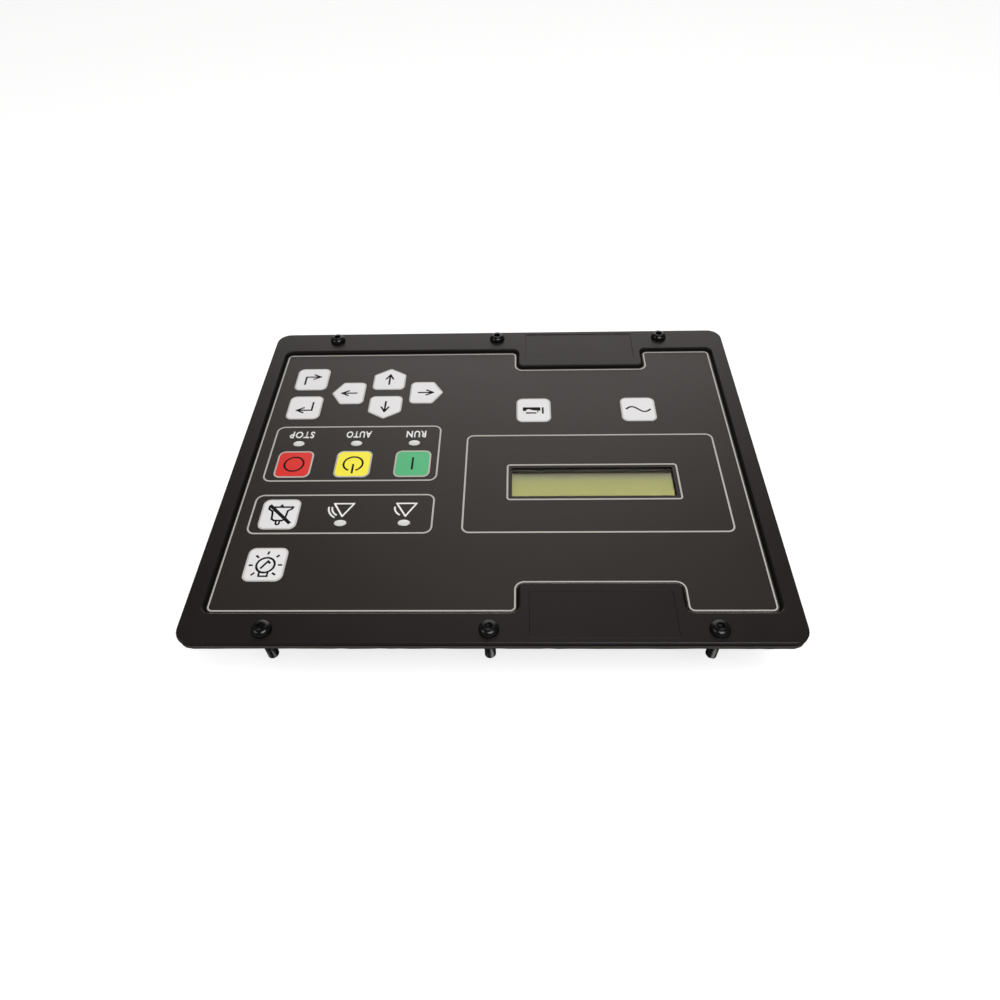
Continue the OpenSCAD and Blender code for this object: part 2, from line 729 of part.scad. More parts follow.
module tail_socket() {
    tail_plane = tail_y - tail_slot_h / 2 + 2 * tail_bend;
    color([0.9, 0.88, 0.8]) difference() {
        translate([tail_x - tail_w / 2 - 3, tail_plane - 2.5, board_face])
            cube([tail_w + 6, 5 + circuit_t, tail_socket_h]);
        translate([tail_x - tail_w / 2 - slip, tail_plane - slip / 2, board_face + 1])
            cube([tail_w + 2 * slip, circuit_t + slip, tail_socket_h]);
    }
}

// A flat chip with rows of gull leads along the sides given in rows
module chip(w, h, t, leads, rows) {
    lead = 0.5;
    translate([-w / 2, -h / 2, -t]) cube([w, h, t - 0.2]);
    for (side = rows) rotate(side) {
        reach = side % 180 == 0 ? w : h;
        span = side % 180 == 0 ? h : w;
        for (i = [0:leads - 1])
            translate([reach / 2 - 0.3, (i - (leads - 1) / 2) * span / (leads + 1) - lead / 2, -t * 0.6])
                cube([1.5, lead, t * 0.6]);
    }
}

module processor() {
    color([0.12, 0.12, 0.13]) translate([-8, middle_row_y - 8, board_back])
        chip(processor_w, processor_w, processor_t, 12, [0, 90, 180, 270]);
}

module memory_chip() {
    color([0.12, 0.12, 0.13]) translate([34, middle_row_y - 8, board_back])
        chip(memory_w, memory_l, memory_t, 8, [0, 180]);
}

module relays() {
    color([0.1, 0.2, 0.5]) for (i = [0:3]) translate([relay_x + relay_pitch * i, top_row_y, board_back]) {
        translate([0, 0, -relay_h]) rounded_slab(relay_w, relay_l, 1, relay_h);
        translate([0, 0, -1]) rounded_slab(relay_w + 2 * relay_foot, relay_l + 2 * relay_foot, 1, 1);
    }
}

// Each can has a beaded sleeve near its foot and a shallow scored top
module filter_capacitors() {
    r = can_d / 2;
    color([0.12, 0.12, 0.3]) for (i = [0:2])
        translate([left_column_x + can_pitch * i, top_row_y, board_back])
        rotate([180, 0, 0]) difference() {
            rotate_extrude() polygon([[0, 0], [r, 0], [r, 1.5], [r - 0.6, 2.1],
                [r, 2.7], [r, can_h - 0.6], [r - 0.6, can_h], [0, can_h]]);
            for (a = [0, 60, 120]) rotate(a) translate([-can_d * 0.35, -0.2, can_h - 0.3])
                cube([can_d * 0.7, 0.4, 1]);
        }
}

module filter_choke() {
    color([0.7, 0.4, 0.2]) translate([choke_x, top_row_y, board_back - choke_wire_r])
        rotate_extrude() translate([choke_wire_r + 3, 0]) circle(choke_wire_r);
}

module sensing_transformers() {
    color([0.15, 0.15, 0.15]) for (i = [0:2])
        translate([left_column_x + transformer_pitch * i, middle_row_y, board_back]) {
            translate([0, 0, -transformer_h])
                rounded_slab(transformer_w, transformer_l, 1, transformer_h);
            translate([0, 0, -transformer_core_h])
                rounded_slab(transformer_core_w, transformer_core_l, 1, transformer_core_h);
        }
}

module power_transistors() {
    color([0.2, 0.2, 0.2]) for (i = [0:3])
        translate([right_column_x - transistor_pitch * i, middle_row_y, board_back]) {
            translate([-5, -8, -4.5]) cube([10, 9, 4.5]);
            translate([-5, 0.9, -1.3]) difference() {
                cube([10, 6.2, 1.3]);
                translate([5, 3.2, -1]) cylinder(d = 3.4, h = 4);
            }
            for (x = [-2.54, 0, 2.54]) translate([x - 0.4, -11.9, -1.6]) cube([0.8, 4, 1.6]);
        }
}

// A boxed header: a base on the board, and a keyed shroud that looks out of the shelf
module header(w) {
    translate([0, 0, header_flange_face])
        rounded_slab(w + 2 * header_flange, header_h + 2 * header_flange, header_r + 1,
            board_back - header_flange_face);
    difference() {
        union() {
            translate([0, 0, header_mouth])
                rounded_slab(w, header_h, header_r, header_flange_face - header_mouth + eps);
            for (x = [-w / 4, w / 4]) translate([x - 2, header_h / 2 - eps, header_mouth])
                cube([4, 1.4, shelf_back - header_mouth - 1]);
        }
        difference() {
            translate([0, 0, header_mouth - 1]) rounded_slab(w - 2 * shroud_wall,
                header_h - 2 * shroud_wall, 1.5, header_floor - header_mouth + 1);
            translate([0, 0, pin_tip]) cylinder(d = jack_boss_d, h = deep_cut);
        }
        translate([0, 0, pin_tip - 1]) cylinder(d = jack_nut_d + 2 * thread_gap, h = jack_nut_len + 1);
    }
}

module header_pins(w) {
    columns = floor((w / 2 - shroud_wall - jack_boss_d / 2 - 4) / pin_pitch);
    first = jack_boss_d / 2 + 3.2;
    for (s = [-1, 1], i = [0:columns - 1], j = [-1:1])
        translate([s * (first + i * pin_pitch) - pin_size / 2, j * pin_pitch - pin_size / 2, pin_tip])
            cube([pin_size, pin_size, header_floor - pin_tip]);
}

// A flat ring between the header's base and the shelf's inside
module header_seal(w) {
    translate([0, 0, shelf_inner]) difference() {
        rounded_slab(w + 2 * header_flange, header_h + 2 * header_flange, header_r + 1,
            header_flange_face - shelf_inner);
        translate([0, 0, -1]) rounded_slab(w + 2 * header_clear, header_h + 2 * header_clear, header_r,
            header_flange_face - shelf_inner + 2);
    }
}

// A threaded brass bush that takes the plug's jack screw
module jack_nut() {
    translate([0, 0, pin_tip]) difference() {
        cylinder(d = jack_nut_d, h = jack_nut_len);
        translate([0, 0, -1]) cylinder(d = jack_d, h = jack_nut_len);
    }
}

module engine_header() {
    color([0.1, 0.1, 0.1]) translate([engine_header_x, header_y, 0]) header(engine_header_w);
}

module engine_header_pins() {
    color([0.8, 0.75, 0.5]) translate([engine_header_x, header_y, 0]) header_pins(engine_header_w);
}

module engine_header_seal() {
    color([0.6, 0.25, 0.1]) translate([engine_header_x, header_y, 0]) header_seal(engine_header_w);
}

module engine_jack_nut() {
    color([0.8, 0.65, 0.3]) translate([engine_header_x, header_y, 0]) jack_nut();
}

module generator_header() {
    color([0.35, 0.35, 0.36]) translate([generator_header_x, header_y, 0]) header(generator_header_w);
}

module generator_header_pins() {
    color([0.8, 0.75, 0.5]) translate([generator_header_x, header_y, 0]) header_pins(generator_header_w);
}

module generator_header_seal() {
    color([0.6, 0.25, 0.1]) translate([generator_header_x, header_y, 0]) header_seal(generator_header_w);
}

module generator_jack_nut() {
    color([0.8, 0.65, 0.3]) translate([generator_header_x, header_y, 0]) jack_nut();
}

module housing_seal() {
    color([0.25, 0.25, 0.27]) translate([0, 0, lip_face]) difference() {
        rounded_slab(housing_w, housing_h, lip_r, seal_t);
        translate([0, 0, -1])
            rounded_slab(housing_w - 2 * lip_w, housing_h - 2 * lip_w, shell_r, seal_t + 2);
        at(COVER_SCREWS) translate([0, 0, -1]) cylinder(d = cover_screw_d + 2 * slip, h = seal_t + 2);
    }
}

// The deep part of the shell and the shelf below it, shrunk by inset and raised by the same for the inside
module shell_body(y0, y1, z_back, inset) {
    corners = box_corners(-shell_x, shell_x, y0, y1, shell_r);
    r = max(back_round - inset, 0.3);
    low = z_back + inset;
    loft(corners, concat(
        [for (i = [3:-1:0]) let (q = quarter(r)[i]) [-inset - draft - q[0], low + r - q[1]]],
        [[-inset, inset > 0 ? lip_face + 1 : lip_back + eps]]));
}

module back_grooves() {
    field_x = shell_x - draft - back_round - 8;
    field_y0 = shelf_y + draft + back_round + 8;
    field_y1 = shell_y - draft - back_round - 8;
    rib_pitch = 2 * field_x / (rib_count + 1);
    for (i = [0:rib_count])
        translate([-field_x + (i + 0.5) * rib_pitch, (field_y0 + field_y1) / 2, back - 1])
            rounded_slab(rib_pitch - 3, field_y1 - field_y0, 2, groove_depth + 1);
}

module gussets() {
    reach = lip_w - 1.5;
    rise = min(10, lip_back - shelf_back - back_round - 1);
    // Each gusset is a thin right triangle between the lip and the shell's wall
    module gusset() rotate([90, 0, 0]) linear_extrude(2, center = true)
        polygon([[-2 - draft, 0.5], [reach, 0.5], [reach, 0], [0.5, -rise], [-2 - draft, -rise]]);
    for (x = [-2 / 3, 0, 2 / 3], s = [-1, 1])
        translate([x * cover_x, s * shell_y, lip_back]) rotate(s * 90) gusset();
    for (y = [-1 / 2, 1 / 2], s = [0, 1])
        translate([(1 - 2 * s) * shell_x, y * cover_y, lip_back]) rotate(180 * s) gusset();
}

module rear_housing() {
    color([0.13, 0.13, 0.13]) difference() {
        union() {
            translate([0, 0, lip_back]) rounded_slab(housing_w, housing_h, lip_r, lip_t);
            shell_body(-shell_y, shell_y, shelf_back, 0);
            shell_body(shelf_y, shell_y, back, 0);
            gussets();
        }
        shell_body(-shell_y, shell_y, shelf_back, wall);
        shell_body(shelf_y, shell_y, back, wall);
        back_grooves();
        for (h = [[engine_header_x, engine_header_w], [generator_header_x, generator_header_w]])
            translate([h[0], header_y, shelf_back - 1])
                rounded_slab(h[1] + 2 * header_clear, header_h + 2 * header_clear, header_r, wall + 2);
        at(COVER_SCREWS) translate([0, 0, lip_back - 1]) cylinder(d = cover_screw_d + 0.6, h = lip_t + 2);
        translate([ground_x, header_y, shelf_back - 1]) cylinder(d = stud_d + 2 * slip, h = wall + 2);
    }
}

module cover_screws() {
    color([0.7, 0.7, 0.7]) at(COVER_SCREWS)
        back_screw(lip_back, cover_screw_d, cover_screw_reach, cover_head_d, cover_head_h);
}

// Earthing stud: a flat head inside the shelf, and a thread, washer and nut outside
ground_x = shell_x - 20;
stud_head_d = stud_d * 2;
stud_head_t = 2;
washer_t = 1;
nut_af = stud_d * 1.6;
nut_t = stud_d * 0.8;
stud_tip = shelf_back - washer_t - nut_t - 5;

module ground_stud() {
    color([0.8, 0.7, 0.4]) translate([ground_x, header_y, 0]) {
        translate([0, 0, shelf_inner]) cylinder(d = stud_head_d, h = stud_head_t);
        translate([0, 0, stud_tip + 0.6]) cylinder(d = stud_d, h = shelf_inner - stud_tip - 0.6 + eps);
        translate([0, 0, stud_tip]) cylinder(d1 = stud_d - 1.2, d2 = stud_d, h = 0.6 + eps);
    }
}

module ground_washer() {
    color([0.75, 0.75, 0.75]) translate([ground_x, header_y, shelf_back - washer_t]) difference() {
        cylinder(d = stud_d * 2, h = washer_t);
        translate([0, 0, -1]) cylinder(d = stud_d + 2 * slip, h = washer_t + 2);
    }
}

module ground_nut() {
    color([0.8, 0.7, 0.4]) translate([ground_x, header_y, shelf_back - washer_t - nut_t]) difference() {
        cylinder(d = nut_af / cos(30), h = nut_t, $fn = 6);
        translate([0, 0, -1]) cylinder(d = stud_d + 2 * thread_gap, h = nut_t + 2);
    }
}

front_bezel();
panel_gasket();
panel_screws();
key_film();
dome_spacer();
snap_domes();
key_circuit();
display_window();
lcd_frame();
lcd_glass();
lcd_contact_strips();
lcd_backlight();
lcd_board();
display_screws();
light_pipes();
status_leds();
main_board();
board_screws();
display_connector();
tail_socket();
processor();
memory_chip();
relays();
filter_capacitors();
filter_choke();
sensing_transformers();
power_transistors();
engine_header();
engine_header_pins();
engine_header_seal();
engine_jack_nut();
generator_header();
generator_header_pins();
generator_header_seal();
generator_jack_nut();
housing_seal();
rear_housing();
cover_screws();
ground_stud();
ground_washer();
ground_nut();
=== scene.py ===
# %% [markdown]
# # Engine control module
# This unit starts, stops and watches the engine of a generating set. It has a black moulded bezel
# with a sunken keypad film, a small display, five lamps, and a sealed housing behind.
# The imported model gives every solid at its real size. This script adds the finishes and the parts
# that need finer shapes: rounded edges, screw threads, printed lines, symbols and lamp lenses.

# %% Load the frame
import json
import math

import bpy
from mathutils import Matrix, Vector


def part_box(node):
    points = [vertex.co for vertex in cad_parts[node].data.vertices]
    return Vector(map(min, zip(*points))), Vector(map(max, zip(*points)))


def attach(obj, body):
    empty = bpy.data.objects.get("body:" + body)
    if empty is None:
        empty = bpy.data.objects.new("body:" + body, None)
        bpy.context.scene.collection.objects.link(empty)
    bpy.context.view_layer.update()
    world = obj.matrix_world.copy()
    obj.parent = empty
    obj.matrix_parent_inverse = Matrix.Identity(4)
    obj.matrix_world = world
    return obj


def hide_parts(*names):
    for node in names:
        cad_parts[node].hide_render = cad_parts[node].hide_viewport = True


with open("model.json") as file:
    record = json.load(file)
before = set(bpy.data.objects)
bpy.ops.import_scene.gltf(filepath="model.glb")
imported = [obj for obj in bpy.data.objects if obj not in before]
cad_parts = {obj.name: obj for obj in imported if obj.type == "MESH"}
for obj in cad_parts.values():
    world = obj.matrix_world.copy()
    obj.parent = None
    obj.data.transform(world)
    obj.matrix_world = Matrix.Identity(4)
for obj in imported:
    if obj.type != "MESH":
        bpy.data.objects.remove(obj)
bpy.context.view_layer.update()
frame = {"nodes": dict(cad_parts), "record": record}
NODES = frame["nodes"]
MM = 0.001
print("nodes:", len(NODES))

# %% [markdown]
# ## Levels
# The keypad film lies below the bezel's face, and the print lies on the film. The levels come from
# the frame, so the print stays on the film when the solids change.

# %% Read the levels from the frame
FACE_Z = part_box("front_bezel")[1].z
FILM_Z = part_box("key_film")[1].z
REST_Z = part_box("rear_housing")[0].z
print("face", round(FACE_Z / MM, 2), "film", round(FILM_Z / MM, 2), "back", round(REST_Z / MM, 2), "mm")

# %% [markdown]
# ## Selecting by place
# Blender's operators act on what is selected. By hand you click on faces. In a script it is easier
# to say where they are, so this helper takes a test and selects the faces, edges or corners that
# pass it. Everything is deselected first, because the loaded nodes come in selected.

# %% Selection helpers
def make_active(piece):
    if bpy.context.object and bpy.context.object.mode != "OBJECT":
        bpy.ops.object.mode_set(mode="OBJECT")
    bpy.ops.object.select_all(action="DESELECT")
    piece.select_set(True)
    bpy.context.view_layer.objects.active = piece


def select_all(kind="FACE"):
    bpy.ops.mesh.select_mode(type=kind)
    bpy.ops.mesh.select_all(action="SELECT")


def edit_all(piece, kind="FACE"):
    make_active(piece)
    bpy.ops.object.mode_set(mode="EDIT")
    select_all(kind)


def select_where(piece, kind, test):
    bpy.ops.object.mode_set(mode="EDIT")
    bpy.ops.mesh.select_mode(type=kind)
    bpy.ops.mesh.select_all(action="DESELECT")
    bpy.ops.object.mode_set(mode="OBJECT")
    parts = {"VERT": piece.data.vertices, "EDGE": piece.data.edges, "FACE": piece.data.polygons}
    for part in parts[kind]:
        part.select = test(part)
    bpy.ops.object.mode_set(mode="EDIT")


print("loaded nodes still selected:", len(bpy.context.selected_objects))

# %% [markdown]
# A finished piece keeps its place in its mesh and its object at the origin, as the loaded nodes do.
# A pattern on Object coordinates then stays where it is in every view.

# %% Placing, joining and applying
def settle(piece):
    make_active(piece)
    bpy.ops.object.transform_apply(location=True, rotation=True, scale=True)


def faces_outward():
    bpy.ops.mesh.select_all(action="SELECT")
    bpy.ops.mesh.normals_make_consistent(inside=False)
    bpy.ops.object.mode_set(mode="OBJECT")


def join_pieces(name, parts):
    make_active(parts[0])
    for part in parts:
        part.select_set(True)
    bpy.ops.object.join()
    piece = bpy.context.object
    piece.name = name
    piece.data.name = name
    settle(piece)
    print(name, "joined from", len(parts), "parts")
    return piece


def apply_modifiers(piece):
    make_active(piece)
    for modifier in list(piece.modifiers):
        bpy.ops.object.modifier_apply(modifier=modifier.name)


def smooth_below(piece, degrees):
    make_active(piece)
    bpy.ops.object.shade_smooth_by_angle(angle=math.radians(degrees))


# %% [markdown]
# ## Shader groups
# Most finishes here are one even colour that is never quite even up close. One group does this for
# all of them: it spreads a colour a little over large patches, does the same to the roughness, and
# gives a fine height for the Bump node. Each material places the group with its own values.

# %% Node helpers
def new_group(name, inputs, outputs):
    group = bpy.data.node_groups.new(name, "ShaderNodeTree")
    for label, kind, value in inputs:
        socket = group.interface.new_socket(label, in_out="INPUT", socket_type=kind)
        socket.default_value = value
    for label, kind in outputs:
        group.interface.new_socket(label, in_out="OUTPUT", socket_type=kind)
    return group, group.nodes.new("NodeGroupInput"), group.nodes.new("NodeGroupOutput")


def feed(tree, source, socket):
    if isinstance(source, (int, float, tuple)):
        socket.default_value = source
    else:
        tree.links.new(source, socket)


def math_node(tree, operation, a, b, clamp=False):
    node = tree.nodes.new("ShaderNodeMath")
    node.operation = operation
    node.use_clamp = clamp
    feed(tree, a, node.inputs[0])
    feed(tree, b, node.inputs[1])
    return node.outputs[0]


def noise_node(tree, vector, scale, detail=2.0):
    node = tree.nodes.new("ShaderNodeTexNoise")
    node.inputs["Detail"].default_value = detail
    tree.links.new(vector, node.inputs["Vector"])
    feed(tree, scale, node.inputs["Scale"])
    return node.outputs["Fac"]


# %% [markdown]
# A material could hold these nodes itself, but then a change would have to be made in every one. A
# group is built once, and each material that holds it takes the change over.

# %% The surface group
FLOAT, COLOUR = "NodeSocketFloat", "NodeSocketColor"
SURFACE, given, result = new_group(
    "Even surface up close",
    [("Colour", COLOUR, (0.5, 0.5, 0.5, 1)), ("Colour spread", FLOAT, 0.1), ("Roughness", FLOAT, 0.5),
     ("Roughness spread", FLOAT, 0.1), ("Patch scale", FLOAT, 40.0), ("Grain scale", FLOAT, 3000.0)],
    [("Colour", COLOUR), ("Roughness", FLOAT), ("Height", FLOAT)])
place = SURFACE.nodes.new("ShaderNodeTexCoord").outputs["Object"]
patches = noise_node(SURFACE, place, given.outputs["Patch scale"], 4.0)
patches = math_node(SURFACE, "SUBTRACT", patches, 0.5)
grain = noise_node(SURFACE, place, given.outputs["Grain scale"])
speckle = math_node(SURFACE, "MULTIPLY", math_node(SURFACE, "SUBTRACT", grain, 0.5), 0.5)
uneven = math_node(SURFACE, "ADD", patches, speckle)
uneven = math_node(SURFACE, "MULTIPLY", uneven, given.outputs["Colour spread"])
tint = SURFACE.nodes.new("ShaderNodeVectorMath")
tint.operation = "SCALE"
SURFACE.links.new(given.outputs["Colour"], tint.inputs[0])
SURFACE.links.new(math_node(SURFACE, "ADD", uneven, 1.0), tint.inputs["Scale"])
rough = math_node(SURFACE, "MULTIPLY", patches, given.outputs["Roughness spread"])
rough = math_node(SURFACE, "ADD", rough, given.outputs["Roughness"], clamp=True)
for source, label in ((tint.outputs[0], "Colour"), (rough, "Roughness"), (grain, "Height")):
    SURFACE.links.new(source, result.inputs[label])
print("group:", SURFACE.name)

# %% [markdown]
# ## The plain finishes
# A table of plain words gives each finish its colour, gloss and grain. After the colour come the
# roughness, the size of the grain and its relief in millimetres, and how far the colour varies. One
# function turns a line of it into a material, so a new finish is one line more. What is the same all
# over, such as the metallic value or the coat, is set on the shader's own socket.

# %% One function for the plain finishes
def finish(name, colour, roughness, grain_mm=0.3, relief_mm=0.01, spread=0.15, metallic=0.0, coat=0.0,
           specular=0.5, rough_spread=0.12, patch_mm=25.0):
    material = bpy.data.materials.new(name)
    material.use_nodes = True
    tree = material.node_tree
    shader = tree.nodes["Principled BSDF"]
    shader.inputs["Metallic"].default_value = metallic
    shader.inputs["Specular IOR Level"].default_value = specular
    shader.inputs["Coat Weight"].default_value = coat
    shader.inputs["Coat Roughness"].default_value = 0.2
    surface = tree.nodes.new("ShaderNodeGroup")
    surface.name = "Surface"
    surface.node_tree = SURFACE
    for label, value in (("Colour", (*colour, 1)), ("Colour spread", spread), ("Roughness", roughness),
                         ("Roughness spread", rough_spread), ("Patch scale", 1 / (patch_mm * MM)),
                         ("Grain scale", 1 / (grain_mm * MM))):
        surface.inputs[label].default_value = value
    tree.links.new(surface.outputs["Colour"], shader.inputs["Base Color"])
    tree.links.new(surface.outputs["Roughness"], shader.inputs["Roughness"])
    if relief_mm:
        bump = tree.nodes.new("ShaderNodeBump")
        bump.inputs["Distance"].default_value = relief_mm * MM
        tree.links.new(surface.outputs["Height"], bump.inputs["Height"])
        tree.links.new(bump.outputs["Normal"], shader.inputs["Normal"])
    return material


# %% The finishes, by material slot
FINISH = {
    "gasket_foam": finish("Gasket foam", (0.1, 0.088, 0.077), 0.95, 0.6, 0.1, 0.5, specular=0.05),
    "black_oxide": finish("Black oxide steel", (0.003, 0.003, 0.003), 0.2, 0.2, 0.002, 0.3, specular=0.35),
    "printed_film": finish(
        "Printed film", (0.0193, 0.0151, 0.0132), 0.34, 0.2, 0.003, 0.12, specular=0.3, patch_mm=60
    ),
    "spacer_film": finish("Spacer film", (0.6, 0.6, 0.56), 0.5),
    "dome_steel": finish("Dome spring steel", (0.62, 0.62, 0.63), 0.3, metallic=1.0),
    "circuit_film": finish("Circuit film", (0.5, 0.26, 0.06), 0.35, patch_mm=8, spread=0.3),
    "black_sheet_steel": finish("Black sheet steel", (0.02, 0.018, 0.014), 0.5, 0.3, 0.003, specular=0.15),
    "contact_rubber": finish("Contact rubber", (0.04, 0.04, 0.04), 0.8),
    "light_guide": finish("Light guide acrylic", (0.62, 0.66, 0.45), 0.3, spread=0.05),
    "green_board": finish("Circuit board lacquer", (0.012, 0.09, 0.035), 0.35, 0.5, 0.02, 0.35, coat=0.3),
    "zinc_steel": finish("Zinc plated steel", (0.6, 0.61, 0.62), 0.32, 0.3, 0.004, 0.2, metallic=1.0),
    "led_epoxy": finish("Lamp epoxy", (0.75, 0.7, 0.45), 0.3),
    "black_nylon": finish("Black nylon", (0.02, 0.02, 0.021), 0.5, 0.2, 0.01, 0.25),
    "cream_nylon": finish("Cream nylon", (0.7, 0.62, 0.42), 0.5),
    "chip_epoxy": finish("Chip epoxy", (0.025, 0.025, 0.027), 0.6, 0.1, 0.01, 0.3),
    "relay_blue": finish("Relay case", (0.02, 0.05, 0.25), 0.35, spread=0.1),
    "can_sleeve": finish("Shrink sleeve", (0.02, 0.02, 0.09), 0.25, spread=0.1),
    "copper_winding": finish("Copper winding", (0.6, 0.2, 0.07), 0.35, 0.8, 0.3, 0.4, metallic=0.9),
    "tinned_brass": finish("Tinned brass", (0.68, 0.64, 0.52), 0.25, metallic=1.0),
    "red_silicone": finish("Silicone seal", (0.33, 0.06, 0.025), 0.6),
    "plain_brass": finish("Turned brass", (0.68, 0.45, 0.15), 0.28, 0.15, 0.004, 0.25, metallic=1.0),
    "grey_nylon": finish("Grey nylon", (0.085, 0.087, 0.09), 0.5, 0.2, 0.01, 0.2),
    "seal_rubber": finish("Nitrile rubber", (0.03, 0.03, 0.032), 0.8, 0.4, 0.03),
    "housing_plastic": finish("Housing plastic", (0.02, 0.0195, 0.019), 0.55, 0.35, 0.03, 0.3),
    "silver_ink": finish("Silver ink", (0.48, 0.455, 0.42), 0.45, 0.15, 0.003, 0.12),
    "white_ink": finish("White ink", (0.9, 0.89, 0.87), 0.5, 0.15, 0.003, 0.05),
    "key_rim": finish("Key rim print", (0.56, 0.54, 0.51), 0.45, 0.3, 0.004, 0.08),
    "key_white": finish("White key print", (0.8, 0.795, 0.8), 0.42, 0.3, 0.004, 0.06),
    "key_red": finish("Red key print", (0.72, 0.015, 0.008), 0.42, 0.3, 0.004, 0.08),
    "key_yellow": finish("Yellow key print", (0.97, 0.86, 0.045), 0.42, 0.3, 0.004, 0.06),
    "key_green": finish("Green key print", (0.078, 0.46, 0.19), 0.42, 0.3, 0.004, 0.08),
    "icon_black": finish("Black ink", (0.006, 0.006, 0.006), 0.6, 0.15, 0.003, specular=0.1),
}
print("plain finishes:", len(FINISH))

# %% [markdown]
# ## Colours that change along one axis
# Two pieces get darker where their neighbours shade them. A colour ramp along the piece's own axis
# says so in a few steps, each with its gloss. On the bezel the walls of the recess are nearly black
# and dull at their foot and get lighter towards the rounded lip, and so do the flange's sides.
# Below the flange the plastic is plain again. A lamp can't be aimed into so narrow a corner, so the
# material is the surer way.

# %% Ramp of colours along an axis
def set_stops(ramp, stops):
    """Stops are (position, four values)."""
    elements = ramp.color_ramp.elements
    for position, values in stops[1:-1]:
        elements.new(position)
    for element, (position, values) in zip(elements, stops):
        element.position = position
        element.color = values


def colours_along(material, axis, start, stop, steps):
    """Steps are (position, colour, roughness)."""
    tree = material.node_tree
    split = tree.nodes.new("ShaderNodeSeparateXYZ")
    along = tree.nodes.new("ShaderNodeMapRange")
    along.inputs["From Min"].default_value = start
    along.inputs["From Max"].default_value = stop
    ramp = tree.nodes.new("ShaderNodeValToRGB")
    set_stops(ramp, [(position, (*colour, roughness)) for position, colour, roughness in steps])
    tree.links.new(tree.nodes.new("ShaderNodeTexCoord").outputs["Object"], split.inputs[0])
    tree.links.new(split.outputs[axis], along.inputs["Value"])
    tree.links.new(along.outputs[0], ramp.inputs["Fac"])
    tree.links.new(ramp.outputs["Color"], tree.nodes["Surface"].inputs["Colour"])
    tree.links.new(ramp.outputs["Alpha"], tree.nodes["Surface"].inputs["Roughness"])


def bezel_finish():
    plain, shaded = ((0.0125, 0.0094, 0.0086), 0.36), ((0.0006, 0.0006, 0.0006), 1.0)
    shade_rise, lip_round, panel_gap = 0.36 * MM, 0.6 * MM, 0.1 * MM
    material = finish("Bezel plastic", *plain, 0.25, 0.01, 0.2, coat=0.08, specular=0.18)
    shade_start, shade_end, lip_start = 0.02, (FILM_Z + shade_rise) / FACE_Z, 1 - lip_round / FACE_Z
    steps = ((0.0, *plain), (shade_start, *shaded), (shade_end, *shaded), (lip_start, *plain))
    colours_along(material, "Z", -panel_gap, FACE_Z, steps)
    return material


FINISH["bezel_plastic"] = bezel_finish()
print("bezel shaded from", round(FILM_Z / MM, 2), "mm down, plain at", round(FACE_Z / MM, 2), "mm")

# %% [markdown]
# ## The display's finishes
# The window is a thin clear sheet. Real light passes it, so a Transparent shader takes over for
# shadow rays, or the display below would stay dark. An anti-glare coat cuts its reflection, so its
# index is set low. The liquid crystal glass is yellow-green. Towards its lower edge its colour is
# painted greyer and then dark: painted shade and a painted dark reflection of its own frame. The lamp
# lenses are milky, which a little light under the surface gives.

# %% Clear window, display glass and milky lenses
def clear_window_finish():
    material = finish("Clear window", (1.0, 1.0, 1.0), 0.03, relief_mm=0, spread=0.0, rough_spread=0.02)
    tree = material.node_tree
    shader = tree.nodes["Principled BSDF"]
    shader.inputs["Transmission Weight"].default_value = 1.0
    shader.inputs["IOR"].default_value = 1.1
    clear = tree.nodes.new("ShaderNodeBsdfTransparent")
    rays = tree.nodes.new("ShaderNodeLightPath")
    blend = tree.nodes.new("ShaderNodeMixShader")
    tree.links.new(rays.outputs["Is Shadow Ray"], blend.inputs[0])
    tree.links.new(shader.outputs[0], blend.inputs[1])
    tree.links.new(clear.outputs[0], blend.inputs[2])
    tree.links.new(blend.outputs[0], tree.nodes["Material Output"].inputs["Surface"])
    return material


def display_glass_finish():
    lit, rough = (0.233, 0.23, 0.085), 0.3
    material = finish("Display glass", lit, rough, relief_mm=0, spread=0.05, specular=0.05)
    low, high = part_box("lcd_glass")
    # Painted shade and painted dark reflection of the frame, darkest at the glass's lower edge.
    steps = ((0.2, (0.012, 0.01, 0.006), rough), (0.23, (0.1, 0.092, 0.062), rough),
             (0.31, (0.16, 0.16, 0.095), rough), (0.43, (0.212, 0.214, 0.089), rough), (0.82, lit, rough))
    colours_along(material, "Y", low.y, high.y, steps)
    return material


def milky_lens_finish():
    material = finish("Milky acrylic", (0.74, 0.73, 0.7), 0.22, 0.3, 0.003, 0.08)
    shader = material.node_tree.nodes["Principled BSDF"]
    light_depth = 2 * MM
    shader.inputs["Subsurface Weight"].default_value = 0.4
    shader.inputs["Subsurface Radius"].default_value = (light_depth, light_depth, light_depth)
    shader.inputs["Subsurface Scale"].default_value = 1.0
    return material


FINISH["clear_window"] = clear_window_finish()
FINISH["display_glass"] = display_glass_finish()
FINISH["frosted_acrylic"] = milky_lens_finish()
print("finishes in all:", len(FINISH))

# %% [markdown]
# ## Dressing the loaded nodes
# Every loaded node gets the finish of its material slot. The record says which slot that is. By
# hand you would pick each node and assign a material. A loop does the same and misses none.

# %% Give every node its finish
SLOT_OF = {part["node"]: part["material_slot"] for part in frame["record"]["subparts"]}
for name, node in NODES.items():
    node.data.materials.clear()
    node.data.materials.append(FINISH[SLOT_OF[name]])
print("dressed:", len(SLOT_OF))


def put_on(piece, slot):
    if not piece.data.materials:
        piece.data.materials.append(FINISH[slot])
    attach(piece, "root")


# %% [markdown]
# ## Moulded parts with soft edges
# A mould never leaves a razor edge: each corner has a radius of a few tenths of a millimetre, and
# that radius catches the light. A copy of the node's mesh is merged, its flat triangles are
# dissolved into whole faces, and a narrow bevel rounds the edges. Weighted normals then keep the
# large faces flat in the light, so only the bevels shade round. The form stays the node's own.

# %% Copy a node, merge it and round its edges
MERGE_GAP, FLAT_ANGLE, EDGE_ANGLE = 0.002 * MM, math.radians(0.5), 38


